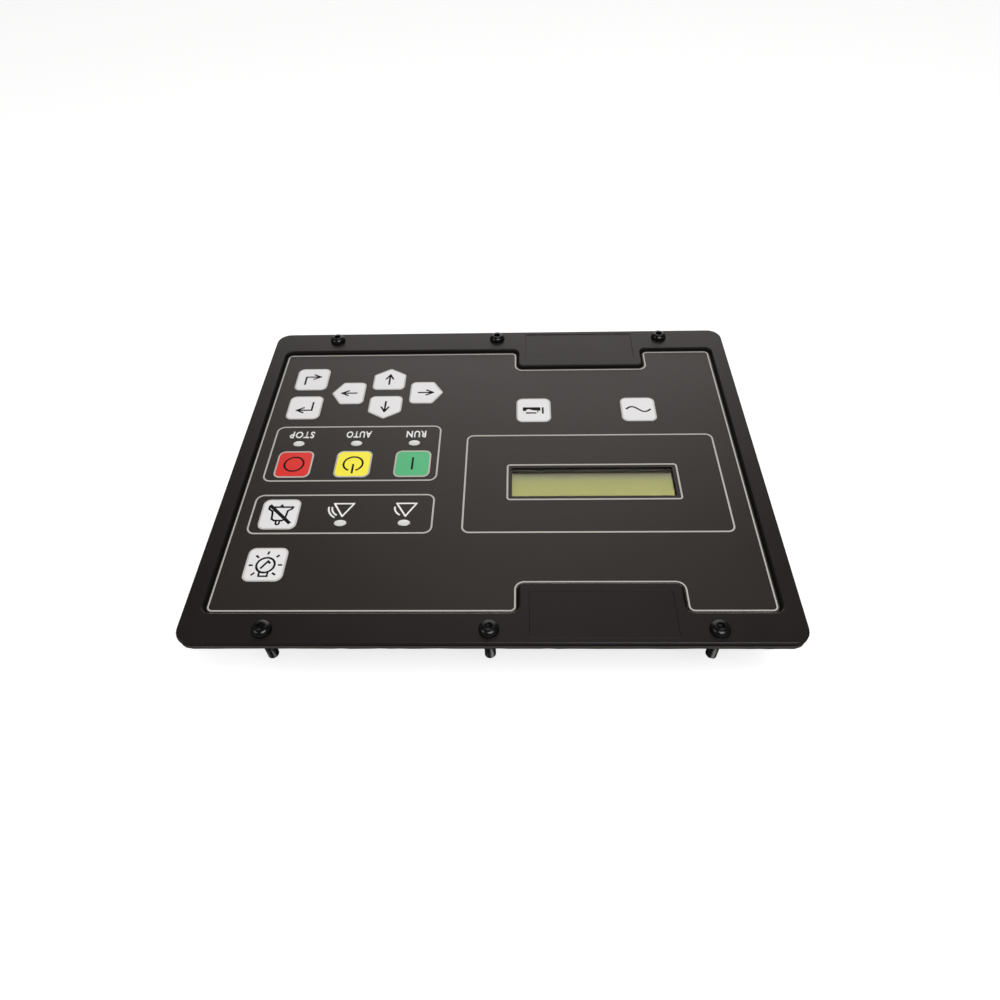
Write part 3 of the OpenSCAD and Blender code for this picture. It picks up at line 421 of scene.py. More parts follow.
def merged_copy(node, name):
    piece = bpy.data.objects.new(name, NODES[node].data.copy())
    bpy.context.scene.collection.objects.link(piece)
    piece.data.materials.clear()
    edit_all(piece)
    bpy.ops.mesh.remove_doubles(threshold=MERGE_GAP)
    bpy.ops.mesh.dissolve_limited(angle_limit=FLAT_ANGLE)
    bpy.ops.object.mode_set(mode="OBJECT")
    return piece


def soft_edged(node, name, radius_mm):
    piece = merged_copy(node, name)
    bevel = piece.modifiers.new("Soft edges", "BEVEL")
    bevel.width = radius_mm * MM
    bevel.segments = 2
    bevel.limit_method = "ANGLE"
    bevel.angle_limit = math.radians(EDGE_ANGLE)
    bevel.use_clamp_overlap = False
    bevel.loop_slide = False
    apply_modifiers(piece)
    smooth_below(piece, EDGE_ANGLE)
    flat = piece.modifiers.new("Flat faces stay flat", "WEIGHTED_NORMAL")
    flat.keep_sharp = True
    flat.weight = 100
    apply_modifiers(piece)
    put_on(piece, SLOT_OF[node])
    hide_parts(node)
    print(name, len(piece.data.polygons), "faces")


soft_edged("front_bezel", "bezel_moulding", 0.19)
soft_edged("rear_housing", "housing_moulding", 0.25)
soft_edged("engine_header", "engine_header_moulding", 0.2)
soft_edged("generator_header", "generator_header_moulding", 0.2)

# %% [markdown]
# ## Foam gasket
# The gasket is a strip of foam between flange and panel. Cut foam has a slightly wavy edge. A bump in
# the material can't change an outline, so the mesh itself is made wavy: the copied ring is cut across
# every few millimetres with the bisect tool, and the corners along its outside are moved by a seeded
# random amount, which is the same in every run.

# %% Wavy foam gasket
def cut_across(axis, start, stop, step):
    count = round((stop - start) / step)
    for i in range(1, count):
        point, normal = Vector((0, 0, 0)), Vector((0, 0, 0))
        point[axis] = start + (stop - start) * i / count
        normal[axis] = 1
        bpy.ops.mesh.select_all(action="SELECT")
        bpy.ops.mesh.bisect(plane_co=point, plane_no=normal)


CUT_STEP, WAVE, WAVY_BAND = 5 * MM, 0.2 * MM, 1.5 * MM
low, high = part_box("panel_gasket")
gasket = merged_copy("panel_gasket", "foam_gasket")
edit_all(gasket)
for axis in (0, 1):
    cut_across(axis, low[axis], high[axis], CUT_STEP)
cut_across(2, low.z, high.z, (high.z - low.z) / 3)
edge_x, edge_y = high.x - WAVY_BAND, high.y - WAVY_BAND
select_where(gasket, "VERT", lambda v: abs(v.co.x) > edge_x or abs(v.co.y) > edge_y)
bpy.ops.transform.vertex_random(offset=WAVE, seed=7)
bpy.ops.object.mode_set(mode="OBJECT")
for v in gasket.data.vertices:
    v.co.z = min(max(v.co.z, low.z), high.z)
smooth_below(gasket, 50)
put_on(gasket, "gasket_foam")
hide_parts("panel_gasket")
print("gasket faces:", len(gasket.data.polygons))

# %% [markdown]
# ## Panel screws
# Six button head screws hold the unit in its panel. The head is a low dome with a hexagon socket.
# One screw is modelled: a disc is extruded and scaled ring by ring into the dome, a hexagon prism
# is cut out of it, and the thread is a ridge wound up by the Screw modifier. Spinning a profile would
# give the same dome, but rings are easier to read and change. The finished screw is then copied.

# %% Raise a disc through rings
SCREW_LOW, SCREW_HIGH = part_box("panel_screws")
HEAD_R, HEAD_H = 5.25 * MM, SCREW_HIGH.z - FACE_Z
SHANK_R, NECK_R, PITCH = 3 * MM, 2.65 * MM, 1 * MM
THREAD_DEPTH = 0.6 * PITCH
SOCKET_ACROSS, SOCKET_DEPTH = 4 * MM, 2 * MM


def extrude_up(height):
    bpy.ops.mesh.extrude_region_move(TRANSFORM_OT_translate={"value": (0, 0, height)})


def raised_disc(corners, start, rings):
    """Start and rings are [height, half width, half depth]."""
    height, width, depth = start
    bpy.ops.mesh.primitive_circle_add(vertices=corners, radius=1, fill_type="NGON", location=(0, 0, height))
    piece = bpy.context.object
    piece.scale = (width, depth, 1)
    settle(piece)
    edit_all(piece)
    for new_height, new_width, new_depth in rings:
        extrude_up(new_height - height)
        bpy.ops.transform.resize(value=(new_width / width, new_depth / depth, 1))
        height, width, depth = new_height, new_width, new_depth
    faces_outward()
    return piece


def dome_rings(base, rise, wide, deep, flat, steps):
    turns = [math.pi / 2 * i / steps for i in range(1, steps + 1)]
    return [(base + rise * math.sin(a), wide * (flat + (1 - flat) * math.cos(a)),
             deep * (flat + (1 - flat) * math.cos(a))) for a in turns]


print("head:", round(2 * HEAD_R / MM, 2), "mm across,", round(HEAD_H / MM, 2), "mm high")

# %% Screw head with its socket
def screw_head():
    edge, worn_edge, rim = 0.1 * MM, 0.12 * MM, 0.12 * HEAD_H
    flat = 0.62 * SOCKET_ACROSS / HEAD_R
    rings = [(edge, HEAD_R, HEAD_R), (rim, HEAD_R, HEAD_R)]
    rings += dome_rings(rim, HEAD_H - rim, HEAD_R, HEAD_R, flat, 7)
    head = raised_disc(48, (0, HEAD_R - edge, HEAD_R - edge), rings)
    bpy.ops.mesh.primitive_cylinder_add(vertices=6, radius=SOCKET_ACROSS / math.sqrt(3),
                                        depth=2 * SOCKET_DEPTH, location=(0, 0, HEAD_H))
    cutter = bpy.context.object
    hollow = head.modifiers.new("Hexagon socket", "BOOLEAN")
    hollow.operation = "DIFFERENCE"
    hollow.object = cutter
    worn = head.modifiers.new("Worn edge", "BEVEL")
    worn.width = worn_edge
    worn.segments = 2
    worn.limit_method = "ANGLE"
    worn.angle_limit = math.radians(50)
    apply_modifiers(head)
    bpy.data.objects.remove(cutter)
    return head


head = screw_head()
print("screw head faces:", len(head.data.polygons))

# %% [markdown]
# The thread is one ridge of metal wound round the shank. A flat profile of five corners is enough:
# root, crest, crest and root again, one pitch higher. The Screw modifier turns and lifts it, and
# its two ends are pulled in to the root, as a real thread runs out.

# %% Wind the thread
def thread(length):
    root_r = SHANK_R - THREAD_DEPTH
    profile = [(root_r, 0.0), (SHANK_R, 0.35), (SHANK_R, 0.55), (root_r, 0.9), (root_r, 1.0)]
    turns = int(length / PITCH) - 1
    bpy.ops.mesh.primitive_circle_add(vertices=len(profile) + 1, radius=1, location=(0, 0, 0))
    ridge = bpy.context.object
    select_where(ridge, "VERT", lambda v: v.index == len(profile))
    bpy.ops.mesh.delete(type="VERT")
    bpy.ops.object.mode_set(mode="OBJECT")
    for vertex, (radius, rise) in zip(ridge.data.vertices, profile):
        vertex.co = (radius, 0, rise * PITCH)
    wind = ridge.modifiers.new("Wind", "SCREW")
    wind.angle = 2 * math.pi
    wind.screw_offset = PITCH
    wind.iterations = turns
    wind.steps = 20
    wind.render_steps = 20
    apply_modifiers(ridge)
    near = PITCH / 1000
    for v in ridge.data.vertices:
        if v.co.x > 0 and abs(v.co.y) < near and not PITCH + near < v.co.z < turns * PITCH - near:
            v.co.x = root_r
    edit_all(ridge, "VERT")
    bpy.ops.mesh.remove_doubles(threshold=0.01 * MM)
    faces_outward()
    return ridge


SHANK_LENGTH = FACE_Z - SCREW_LOW.z
THREAD_GAP, SUNK = 0.5 * MM, 0.05 * MM
CORE_R, TIP = SHANK_R - THREAD_DEPTH + SUNK, 0.6 * MM
core = raised_disc(32, (-SHANK_LENGTH, CORE_R - TIP, CORE_R - TIP),
                   [(TIP - SHANK_LENGTH, CORE_R, CORE_R), (-FACE_Z, CORE_R, CORE_R),
                    (-FACE_Z, NECK_R, NECK_R), (SUNK, NECK_R, NECK_R)])
ridge = thread(SHANK_LENGTH - FACE_Z - THREAD_GAP)
ridge.location.z = THREAD_GAP - SHANK_LENGTH
settle(ridge)
one_screw = join_pieces("panel_screw", [head, ridge, core])
smooth_below(one_screw, 40)
print("one screw:", len(one_screw.data.polygons), "faces")

# %% [markdown]
# Screws driven by hand end at different angles, so each copy is turned by its own amount. Each has
# its own mesh too. An array would be quicker, but it would turn all six the same way.

# %% Copy the screw to its six places
SCREW_X, SCREW_Y = SCREW_HIGH.x - HEAD_R, SCREW_HIGH.y - HEAD_R
FIRST_TURN, TURN_STEP = 17, 71
screws = []
for i, (x, y) in enumerate((x, y) for x in (-SCREW_X, 0, SCREW_X) for y in (-SCREW_Y, SCREW_Y)):
    screw = one_screw.copy()
    screw.data = one_screw.data.copy()
    bpy.context.scene.collection.objects.link(screw)
    screw.location = (x, y, FACE_Z)
    screw.rotation_euler.z = math.radians(FIRST_TURN + TURN_STEP * i)
    screws.append(screw)
bpy.data.objects.remove(one_screw)
panel_screws = join_pieces("threaded_panel_screws", screws)
put_on(panel_screws, "black_oxide")
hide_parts("panel_screws")
print("screws:", len(screws))

# %% [markdown]
# ## Lamp lenses
# Each lamp is the oval end of a milky acrylic light pipe that comes up through the film and ends in
# a low dome. A stretched sphere would give the dome alone. Here one disc is squashed into an oval and
# extruded up ring by ring, which gives pipe, collar and dome in one closed shell. The collar holds it
# behind the bezel's tray.

# %% Model the light pipes
PIPES_LOW, PIPES_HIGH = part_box("light_pipes")
LENS_X, LENS_Y, LENS_RISE = 3.6 * MM, 2.25 * MM, 0.7 * MM
COLLAR, COLLAR_TOP = 1.2 * MM, 0.4 * MM
STOP_X = PIPES_HIGH.x - LENS_X - COLLAR
COLUMN = 36.7 * MM
KEY_X = [STOP_X, STOP_X - COLUMN, STOP_X - 2 * COLUMN]
RUN_ROW_Y, ALARM_ROW_Y = 1.5 * MM, 42.4 * MM
LAMP_LOW_Y, LAMP_HIGH_Y = RUN_ROW_Y - 17.7 * MM, ALARM_ROW_Y + 6.8 * MM
LAMPS = [(x, LAMP_LOW_Y) for x in KEY_X] + [(x, LAMP_HIGH_Y) for x in KEY_X[1:]]


def light_pipe(x, y):
    wide, deep = LENS_X + COLLAR, LENS_Y + COLLAR
    rings = [(COLLAR_TOP - COLLAR, LENS_X, LENS_Y), (COLLAR_TOP - COLLAR, wide, deep),
             (COLLAR_TOP, wide, deep), (COLLAR_TOP, LENS_X, LENS_Y), (FILM_Z, LENS_X, LENS_Y)]
    rings += dome_rings(FILM_Z, LENS_RISE, LENS_X, LENS_Y, 0.1, 6)
    pipe = raised_disc(40, (PIPES_LOW.z, LENS_X, LENS_Y), rings)
    pipe.location = (x, y, 0)
    return pipe


lenses = join_pieces("lamp_lenses", [light_pipe(x, y) for x, y in LAMPS])
smooth_below(lenses, 40)
put_on(lenses, "frosted_acrylic")
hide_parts("light_pipes")
print("lamps:", len(LAMPS))

# %% [markdown]
# ## Printed lines
# Silver lines frame the keypad and its groups. An image could carry them, but thin pieces of ink stay
# sharp from any distance. A line is a flat ring: a plane gets round corners by a bevel of its corners,
# an inset makes the line's width, the middle is deleted, and what is left is given its thickness.
# The ink lies sunk a little in the film, so no gap shows.

# %% Ring of ink round a box
INK_RISE, INK_SINK, NEAR = 0.03 * MM, 0.05 * MM, 0.01 * MM
LINE_W, OUTER_LINE_W = 1.0 * MM, 0.85 * MM


def flat_plane(x0, x1, y0, y1):
    bpy.ops.mesh.primitive_plane_add(size=1, location=((x0 + x1) / 2, (y0 + y1) / 2, FILM_Z - INK_SINK))
    plane = bpy.context.object
    plane.scale = (x1 - x0, y1 - y0, 1)
    settle(plane)
    return plane


def ink_ring(plane, width=LINE_W):
    select_all()
    bpy.ops.mesh.inset(thickness=width)
    bpy.ops.mesh.delete(type="FACE")
    bpy.ops.mesh.select_all(action="SELECT")
    extrude_up(INK_SINK + INK_RISE)
    faces_outward()
    return plane


def box_line(x0, x1, y0, y1, corner):
    grow = LINE_W / 2
    plane = flat_plane(x0 - grow, x1 + grow, y0 - grow, y1 + grow)
    edit_all(plane, "VERT")
    bpy.ops.mesh.bevel(offset=corner + grow, segments=8, affect="VERTICES")
    return ink_ring(plane)


BOXES = [(-136.3, 17.0, -22.2, 56.5, 4.0), (34.6, 140.0, -31.5, 16.0, 4.5),
         (34.5, 140.0, 27.7, 56.7, 4.5), (-110.5, -8.5, 3.8, 31.9, 1.6)]
lines = [box_line(*(v * MM for v in box)) for box in BOXES]
print("boxes:", len(lines))

# %% [markdown]
# The outer line follows the film, which is notched above and below by the bezel's tongues. The
# plane is cut by bisecting it at the notches' sides and depths, the notch tiles are deleted, and
# the outer corners and the inner ones get their own radii.

# %% Notched line round the whole film
def notched_line(x0, x1, y0, y1, notch_x0, notch_x1, notch_y0, notch_y1, corner, inner):
    plane = flat_plane(x0, x1, y0, y1)
    edit_all(plane)
    for point, normal in (((notch_x0, 0, 0), (1, 0, 0)), ((notch_x1, 0, 0), (1, 0, 0)),
                          ((0, notch_y0, 0), (0, 1, 0)), ((0, notch_y1, 0), (0, 1, 0))):
        bpy.ops.mesh.select_all(action="SELECT")
        bpy.ops.mesh.bisect(plane_co=point, plane_no=normal)
    select_where(plane, "FACE", lambda f: notch_x0 < f.center.x < notch_x1
                 and not notch_y0 < f.center.y < notch_y1)
    bpy.ops.mesh.delete(type="FACE")
    bpy.ops.mesh.select_all(action="SELECT")
    bpy.ops.mesh.dissolve_limited(angle_limit=math.radians(1))
    select_where(plane, "VERT", lambda v: min(abs(v.co.y - notch_y0), abs(v.co.y - notch_y1)) < NEAR)
    bpy.ops.mesh.bevel(offset=inner, segments=8, affect="VERTICES")
    select_where(plane, "VERT", lambda v: min(abs(v.co.y - y0), abs(v.co.y - y1)) < NEAR)
    bpy.ops.mesh.bevel(offset=corner, segments=8, affect="VERTICES")
    return ink_ring(plane, OUTER_LINE_W)


half = OUTER_LINE_W / 2 / MM
OUTER_LINE = (-147.8 - half, 148.0 + half, -105.8 - half, 108.5 + half,
              -103.1 + half, -13.1 - half, -87.3 - half, 90.4 + half, 2.6 + half, 5.0 - half)
lines.append(notched_line(*(v * MM for v in OUTER_LINE)))
silver_lines = join_pieces("silver_lines", lines)
put_on(silver_lines, "silver_ink")
print("silver line faces:", len(silver_lines.data.polygons))

# %% [markdown]
# ## Keys
# A key is a printed area, and the film is pressed out over it by a tenth of a millimetre, which
# gives its rim a soft edge of light and shade. The plane's corners are rounded, the face is
# extruded, and two insets make the border and the coloured middle. The border is silver on the
# coloured keys and pale on the white ones.

# %% A raised key from a plane
KEY_W, KEY_H, KEY_CORNER = 22.4 * MM, 22.8 * MM, 4.2 * MM
MODE_KEY_W, MODE_KEY_H = 22.3 * MM, 22.6 * MM
BORDER_W, PAD_RISE, PAD_ANGLE = 1.0 * MM, 0.12 * MM, 60


def raise_pad(pad, slot):
    rim = "key_rim" if slot == "key_white" else "silver_ink"
    select_all()
    extrude_up(INK_SINK + INK_RISE)
    bpy.ops.mesh.inset(thickness=BORDER_W * 0.4, depth=PAD_RISE * 0.7)
    bpy.ops.mesh.inset(thickness=BORDER_W * 0.6, depth=PAD_RISE * 0.3)
    bpy.ops.object.mode_set(mode="OBJECT")
    pad.data.materials.append(FINISH[rim])
    pad.data.materials.append(FINISH[slot])
    for face in pad.data.polygons:
        face.material_index = 1 if face.select else 0
    bpy.ops.object.mode_set(mode="EDIT")
    faces_outward()
    smooth_below(pad, PAD_ANGLE)
    return pad


def square_key(x, y, slot, width=KEY_W, height=KEY_H):
    pad = flat_plane(x - width / 2, x + width / 2, y - height / 2, y + height / 2)
    edit_all(pad, "VERT")
    bpy.ops.mesh.bevel(offset=KEY_CORNER, segments=7, affect="VERTICES")
    return raise_pad(pad, slot)


print("key:", round(KEY_W / MM, 2), "by", round(KEY_H / MM, 2), "mm")

# %% [markdown]
# The four arrow keys are square at the back and pointed at the front. The front edge is cut in two
# in the middle, and the new corner is pulled out. One shape is turned to all four directions.

# %% A pointed key
ARROW_HALF_W, ARROW_BASE, ARROW_SHOULDER, ARROW_TIP = 11 * MM, -10 * MM, 5.6 * MM, 12.4 * MM


def pointed_key(x, y, turn, slot):
    pad = flat_plane(-ARROW_HALF_W, ARROW_HALF_W, ARROW_BASE, ARROW_SHOULDER)
    edit_all(pad)
    bpy.ops.mesh.bisect(plane_co=(0, 0, 0), plane_no=(1, 0, 0))
    select_where(pad, "VERT", lambda v: abs(v.co.x) < NEAR and v.co.y > 0)
    bpy.ops.transform.translate(value=(0, ARROW_TIP - ARROW_SHOULDER, 0))
    bpy.ops.mesh.select_all(action="SELECT")
    bpy.ops.mesh.dissolve_limited(angle_limit=math.radians(1))
    for test, radius in (
            (lambda v: v.co.y < ARROW_BASE + NEAR, 3.6),
            (lambda v: abs(v.co.x) > ARROW_HALF_W - NEAR and v.co.y > ARROW_SHOULDER - NEAR, 1.2),
            (lambda v: v.co.y > ARROW_TIP - NEAR, 1.0)):
        select_where(pad, "VERT", test)
        bpy.ops.mesh.bevel(offset=radius * MM, segments=5, affect="VERTICES")
    bpy.ops.object.mode_set(mode="OBJECT")
    pad.location = (x, y, 0)
    pad.rotation_euler.z = math.radians(turn)
    settle(pad)
    edit_all(pad)
    return raise_pad(pad, slot)


print("arrow key:", round((ARROW_TIP - ARROW_BASE) / MM, 2), "mm from back to point")

# %% [markdown]
# ## Places of the keys
# Keys, lamps and words stand in the same columns, so their places are worked out from the lamps'.
# Each could be placed by its own numbers, but then a moved column would come apart.

# %% Lay out the thirteen keys
ALARM_KEY = (STOP_X - 0.3 * MM, ALARM_ROW_Y)
LAMP_KEY = (STOP_X - 0.2 * MM, 78.5 * MM)
WAVE_KEY = (-93.3 * MM, -46.1 * MM)
ENGINE_KEY = (-25.1 * MM, -46.1 * MM)
BACK_KEY = (STOP_X + 2.8 * MM, -50.4 * MM)
ENTER_KEY = (STOP_X + 2.8 * MM, -79.6 * MM)
ARROWS_X, ARROWS_Y, ARROWS_OUT_X, ARROWS_OUT_Y = STOP_X - 50.8 * MM, -64.7 * MM, 25.3 * MM, 13.3 * MM
RUN_ROW = [(x - 0.55 * MM, RUN_ROW_Y + 0.5 * MM) for x in KEY_X]
ARROW_KEYS = [(ARROWS_X, ARROWS_Y + ARROWS_OUT_Y, 0), (ARROWS_X - ARROWS_OUT_X, ARROWS_Y, 90),
              (ARROWS_X, ARROWS_Y - ARROWS_OUT_Y, 180), (ARROWS_X + ARROWS_OUT_X, ARROWS_Y, 270)]

MODES = zip(("stop_key", "auto_key", "run_key"), RUN_ROW, ("key_red", "key_yellow", "key_green"))
for name, (x, y), slot in MODES:
    key = square_key(x, y, slot, MODE_KEY_W, MODE_KEY_H)
    key.name = name
    put_on(key, slot)
pads = [square_key(x, y, "key_white")
        for x, y in (ALARM_KEY, LAMP_KEY, WAVE_KEY, ENGINE_KEY, BACK_KEY, ENTER_KEY)]
pads += [pointed_key(x, y, turn, "key_white") for x, y, turn in ARROW_KEYS]
white_keys = join_pieces("white_keys", pads)
put_on(white_keys, "key_white")
print("white keys:", len(pads))

# %% [markdown]
# ## Symbols
# The symbols are strokes of ink. A curve through a few points gets a round section as wide as the
# stroke, becomes a mesh, and is pressed flat. A stroke with sharp corners is laid as separate
# straight runs, each a little longer than its stretch, so that the corners fill up. Filled shapes
# are faces whose corners are moved to the symbol's, and which are extruded to the ink's thickness.

# %% Strokes of ink
KEY_TOP = FILM_Z + INK_RISE + PAD_RISE
STROKE_W, BARB_BACK, BARB_OUT = 1.25, 4.4, 2.4


def stroke(middle, points, width=STROKE_W, smooth=False, closed=False, level=KEY_TOP):
    curve = bpy.data.curves.new("stroke", "CURVE")
    curve.dimensions = "3D"
    curve.bevel_depth = width / 2
    curve.bevel_resolution = 2
    curve.use_fill_caps = True
    runs = [points] if smooth else list(zip(points, points[1:]))
    if closed and not smooth:
        runs.append((points[-1], points[0]))
    for run in runs:
        line = curve.splines.new("POLY")
        line.points.add(len(run) - 1)
        ends = [Vector(p) for p in run]
        if not smooth:
            reach = (ends[1] - ends[0]).normalized() * width * 0.4
            ends = [ends[0] - reach, ends[1] + reach]
        for point, end in zip(line.points, ends):
            point.co = (end.x, end.y, 0, 1)
        line.use_cyclic_u = closed and smooth
    piece = bpy.data.objects.new("stroke", curve)
    bpy.context.scene.collection.objects.link(piece)
    make_active(piece)
    bpy.ops.object.convert(target="MESH")
    piece = bpy.context.object
    piece.scale = (MM, MM, 2 * INK_RISE / width)
    piece.location = (*middle, level)
    settle(piece)
    return piece


print("strokes", STROKE_W, "mm wide on the keys at", round(KEY_TOP / MM, 2), "mm")


# %% Filled shapes, arcs and arrow heads
def filled(middle, points):
    """Points are in millimetres round the middle, counter-clockwise."""
    bpy.ops.mesh.primitive_circle_add(vertices=len(points), radius=1, fill_type="NGON", location=(0, 0, 0))
    piece = bpy.context.object
    for vertex, (x, y) in zip(piece.data.vertices, points):
        vertex.co = (x * MM, y * MM, 0)
    piece.location = (*middle, KEY_TOP - INK_SINK)
    settle(piece)
    edit_all(piece)
    extrude_up(INK_SINK + INK_RISE)
    faces_outward()
    return piece


def arc(x, y, radius, start, sweep, steps=24):
    turns = [math.radians(start + sweep * i / steps) for i in range(steps + 1)]
    return [(x + radius * math.cos(a), y + radius * math.sin(a)) for a in turns]


def arrow_head(tail, tip):
    along = (Vector(tip) - Vector(tail)).normalized()
    across = Vector((-along.y, along.x))
    barbs = [Vector(tip) - along * BARB_BACK + across * BARB_OUT * side for side in (1, -1)]
    return [tuple(barbs[0]), tip, tuple(barbs[1])]


print("arrow barbs:", BARB_BACK, "mm back and", BARB_OUT, "mm out")

# %% Signs for stop, auto, run and the arrows
stop, auto, run = RUN_ROW
black = [stroke(stop, arc(0, 0, 5.9, 0, 360, 48)[:-1], smooth=True, closed=True),
         stroke(auto, arc(0, 0, 5.9, 112, 316, 44), smooth=True),
         stroke(auto, [(-0.2, 0.7), (-0.2, 7.6)]), stroke(run, [(0, -4.8), (0, 4.7)])]
for x, y, turn in ARROW_KEYS:
    ahead = Vector((-math.sin(math.radians(turn)), math.cos(math.radians(turn))))
    tail, tip = tuple(ahead * -4.3), tuple(ahead * 5.6)
    black += [stroke((x, y), [tail, tip]), stroke((x, y), arrow_head(tail, tip))]
for middle, bend in ((ENTER_KEY, [(4.6, 5.2), (4.6, -2.5), (-5.2, -2.5)]),
                     (BACK_KEY, [(-5.0, -5.0), (-5.0, 2.6), (4.9, 2.6)])):
    black += [stroke(middle, bend), stroke(middle, arrow_head(bend[1], bend[2]))]
wave = [(8.0 * (i / 20 - 1), 2.4 * math.sin(-math.pi * (i / 20 - 1))) for i in range(41)]
black.append(stroke(WAVE_KEY, wave, smooth=True))
print("strokes so far:", len(black))

# %% [markdown]
# The crossed bell silences the horn, the bulb with its rays tests the lamps, and the small block
# stands for the engine.

# %% Bell, bulb and engine
BELL = [(-7.0, -5.3), (-6.4, -3.9), (-4.3, -2.4), (-4.0, 1.0), (-3.7, 3.8), (-2.4, 4.9), (2.3, 4.9),
        (3.9, 3.7), (4.3, -0.2), (4.6, -2.1), (7.0, -4.0), (7.0, -5.3)]
BELL_LOOP = [(-1.2, 5.2), *arc(0, 6.9, 1.0, 200, -220, 14), (1.2, 5.2)]
RAYS = [((0, -7.2), (-0.2, -8.4)), ((-5.45, -5.15), (-6.25, -5.95)), ((-7.5, 0.5), (-8.9, 0.5)),
        ((-5.3, 6.0), (-6.5, 6.95)), ((5.1, 5.9), (6.2, 7.05)), ((7.3, 0.6), (8.7, 0.6)),
        ((4.95, -4.75), (6.05, -5.75))]
black += [stroke(ALARM_KEY, BELL, closed=True), stroke(ALARM_KEY, BELL_LOOP, 1.1, smooth=True),
          filled(ALARM_KEY, [(-1.7, -5.6), (0, -7.8), (1.2, -5.6)]),
          stroke(ALARM_KEY, [(6.4, -6.3), (-6.7, 6.5)], 2.1)]
black += [stroke(LAMP_KEY, arc(-0.15, 0.55, 5.0, 0, 360, 40)[:-1], smooth=True, closed=True),
          stroke(LAMP_KEY, [(-2.4, 5.6), (-2.4, 8.0), (2.2, 8.0), (2.3, 5.6)], 1.1),
          stroke(LAMP_KEY, [(2.0, 2.5), (-1.1, -2.1), (-2.2, -0.9)])]
black += [stroke(LAMP_KEY, ray, 1.15) for ray in RAYS]
BLOCK = [(-4.45, -2.6), (7.1, -2.6), (7.1, 1.0), (5.2, 1.0), (4.3, -0.5), (3.0, -0.8), (0.9, 0.2),
         (-2.4, 0.7), (-2.4, 2.4), (-3.1, 2.4), (-3.1, 0.7), (-4.45, 0.7)]
black += [filled(ENGINE_KEY, BLOCK), stroke(ENGINE_KEY, [(-1.3, 2.9), (4.5, 2.9)], 1.3),
          stroke(ENGINE_KEY, [(-6.0, -2.1), (-6.0, 3.1)])]
symbols = join_pieces("key_symbols", black)
put_on(symbols, "icon_black")
print("symbol faces:", len(symbols.data.polygons))

# %% [markdown]
# ## Words and white signs
# The three mode keys have their words below them, as on any such switch. Text is set with a little
# offset for weight, made into a mesh, and scaled to the height and width of the print.
# Below two lamps stand a triangle and one or two arcs, for a warning and for a shutdown.

# %% Words under the mode keys
CAP_HEIGHT, WORD_BASE_Y, WORD_SHIFT = 6.1 * MM, -27.3 * MM, -0.6 * MM


def word(text, x, width):
    bpy.ops.object.text_add(location=(0, 0, 0))
    piece = bpy.context.object
    piece.data.body = text
    piece.data.offset = 0.03
    piece.data.space_character = 1.15
    piece.data.resolution_u = 4
    bpy.ops.object.convert(target="MESH")
    piece = bpy.context.object
    corners = [Vector(c) for c in piece.bound_box]
    low = Vector(min(c[i] for c in corners) for i in range(3))
    size = Vector(max(c[i] for c in corners) for i in range(3)) - low
    piece.scale = (width / size.x, CAP_HEIGHT / size.y, 1)
    piece.location = (x - width / 2 - low.x * width / size.x,
                      WORD_BASE_Y - low.y * CAP_HEIGHT / size.y, FILM_Z - INK_SINK)
    settle(piece)
    edit_all(piece)
    extrude_up(INK_SINK + INK_RISE)
    faces_outward()
    return piece


white = [word(text, x + WORD_SHIFT, width * MM)
         for text, x, width in zip(("STOP", "AUTO", "RUN"), KEY_X, (15.9, 16.1, 12.6))]
TRIANGLE = [(-6.1, 34.5), (5.4, 34.5), (-0.35, 44.2)]
SIGN_W, ARC_MIDDLE, ARC_START, ARC_SWEEP = 1.1, (-0.4, 37.4), -3, 64


def sound_arc(x, radius, steps):
    curve = arc(*ARC_MIDDLE, radius, ARC_START, ARC_SWEEP, steps)
    return stroke((x, 0), curve, SIGN_W, smooth=True, level=FILM_Z)


for x in KEY_X[1:]:
    white += [stroke((x, 0), TRIANGLE, SIGN_W, closed=True, level=FILM_Z), sound_arc(x, 6.8, 12)]
white.append(sound_arc(KEY_X[1], 8.8, 14))
white_print = join_pieces("white_print", white)
put_on(white_print, "white_ink")
print("white print faces:", len(white_print.data.polygons))

# %% [markdown]
# ## Camera
# The camera stands above the unit's upper edge and looks down on it, so the panel shows upside
# down. By eye you would move it until the corners fit. Here its place, lens and slight roll were
# worked out from where the panel's corners, lines and screws are.

# %% Camera
camera = bpy.data.objects.new("Camera", bpy.data.cameras.new("Camera"))
bpy.context.scene.collection.objects.link(camera)
camera.data.sensor_width = 36
camera.data.lens = 26.42
camera.data.clip_start = 0.01
camera.location = (-16.51 * MM, 316.25 * MM, 326.1 * MM)
turn = Matrix.Rotation(math.radians(182.475), 3, "Z")
pitch = Matrix.Rotation(math.radians(41.43), 3, "X")
roll = Matrix.Rotation(math.radians(-2.154), 3, "Z")
camera.rotation_euler = (turn @ pitch @ roll).to_euler()
bpy.context.scene.camera = camera
bpy.context.scene.view_settings.view_transform = "Standard"
print("camera height over the face:", round((camera.location.z - FACE_Z) / MM), "mm")

# %% [markdown]
# ## Floor
# The unit rests on the flat back of its housing, on pale paper. What the camera sees of the paper
# is lifted to white by a little emission, on camera rays only, and the shadow stays. More light
# would whiten it as well, but the unit would be washed out.

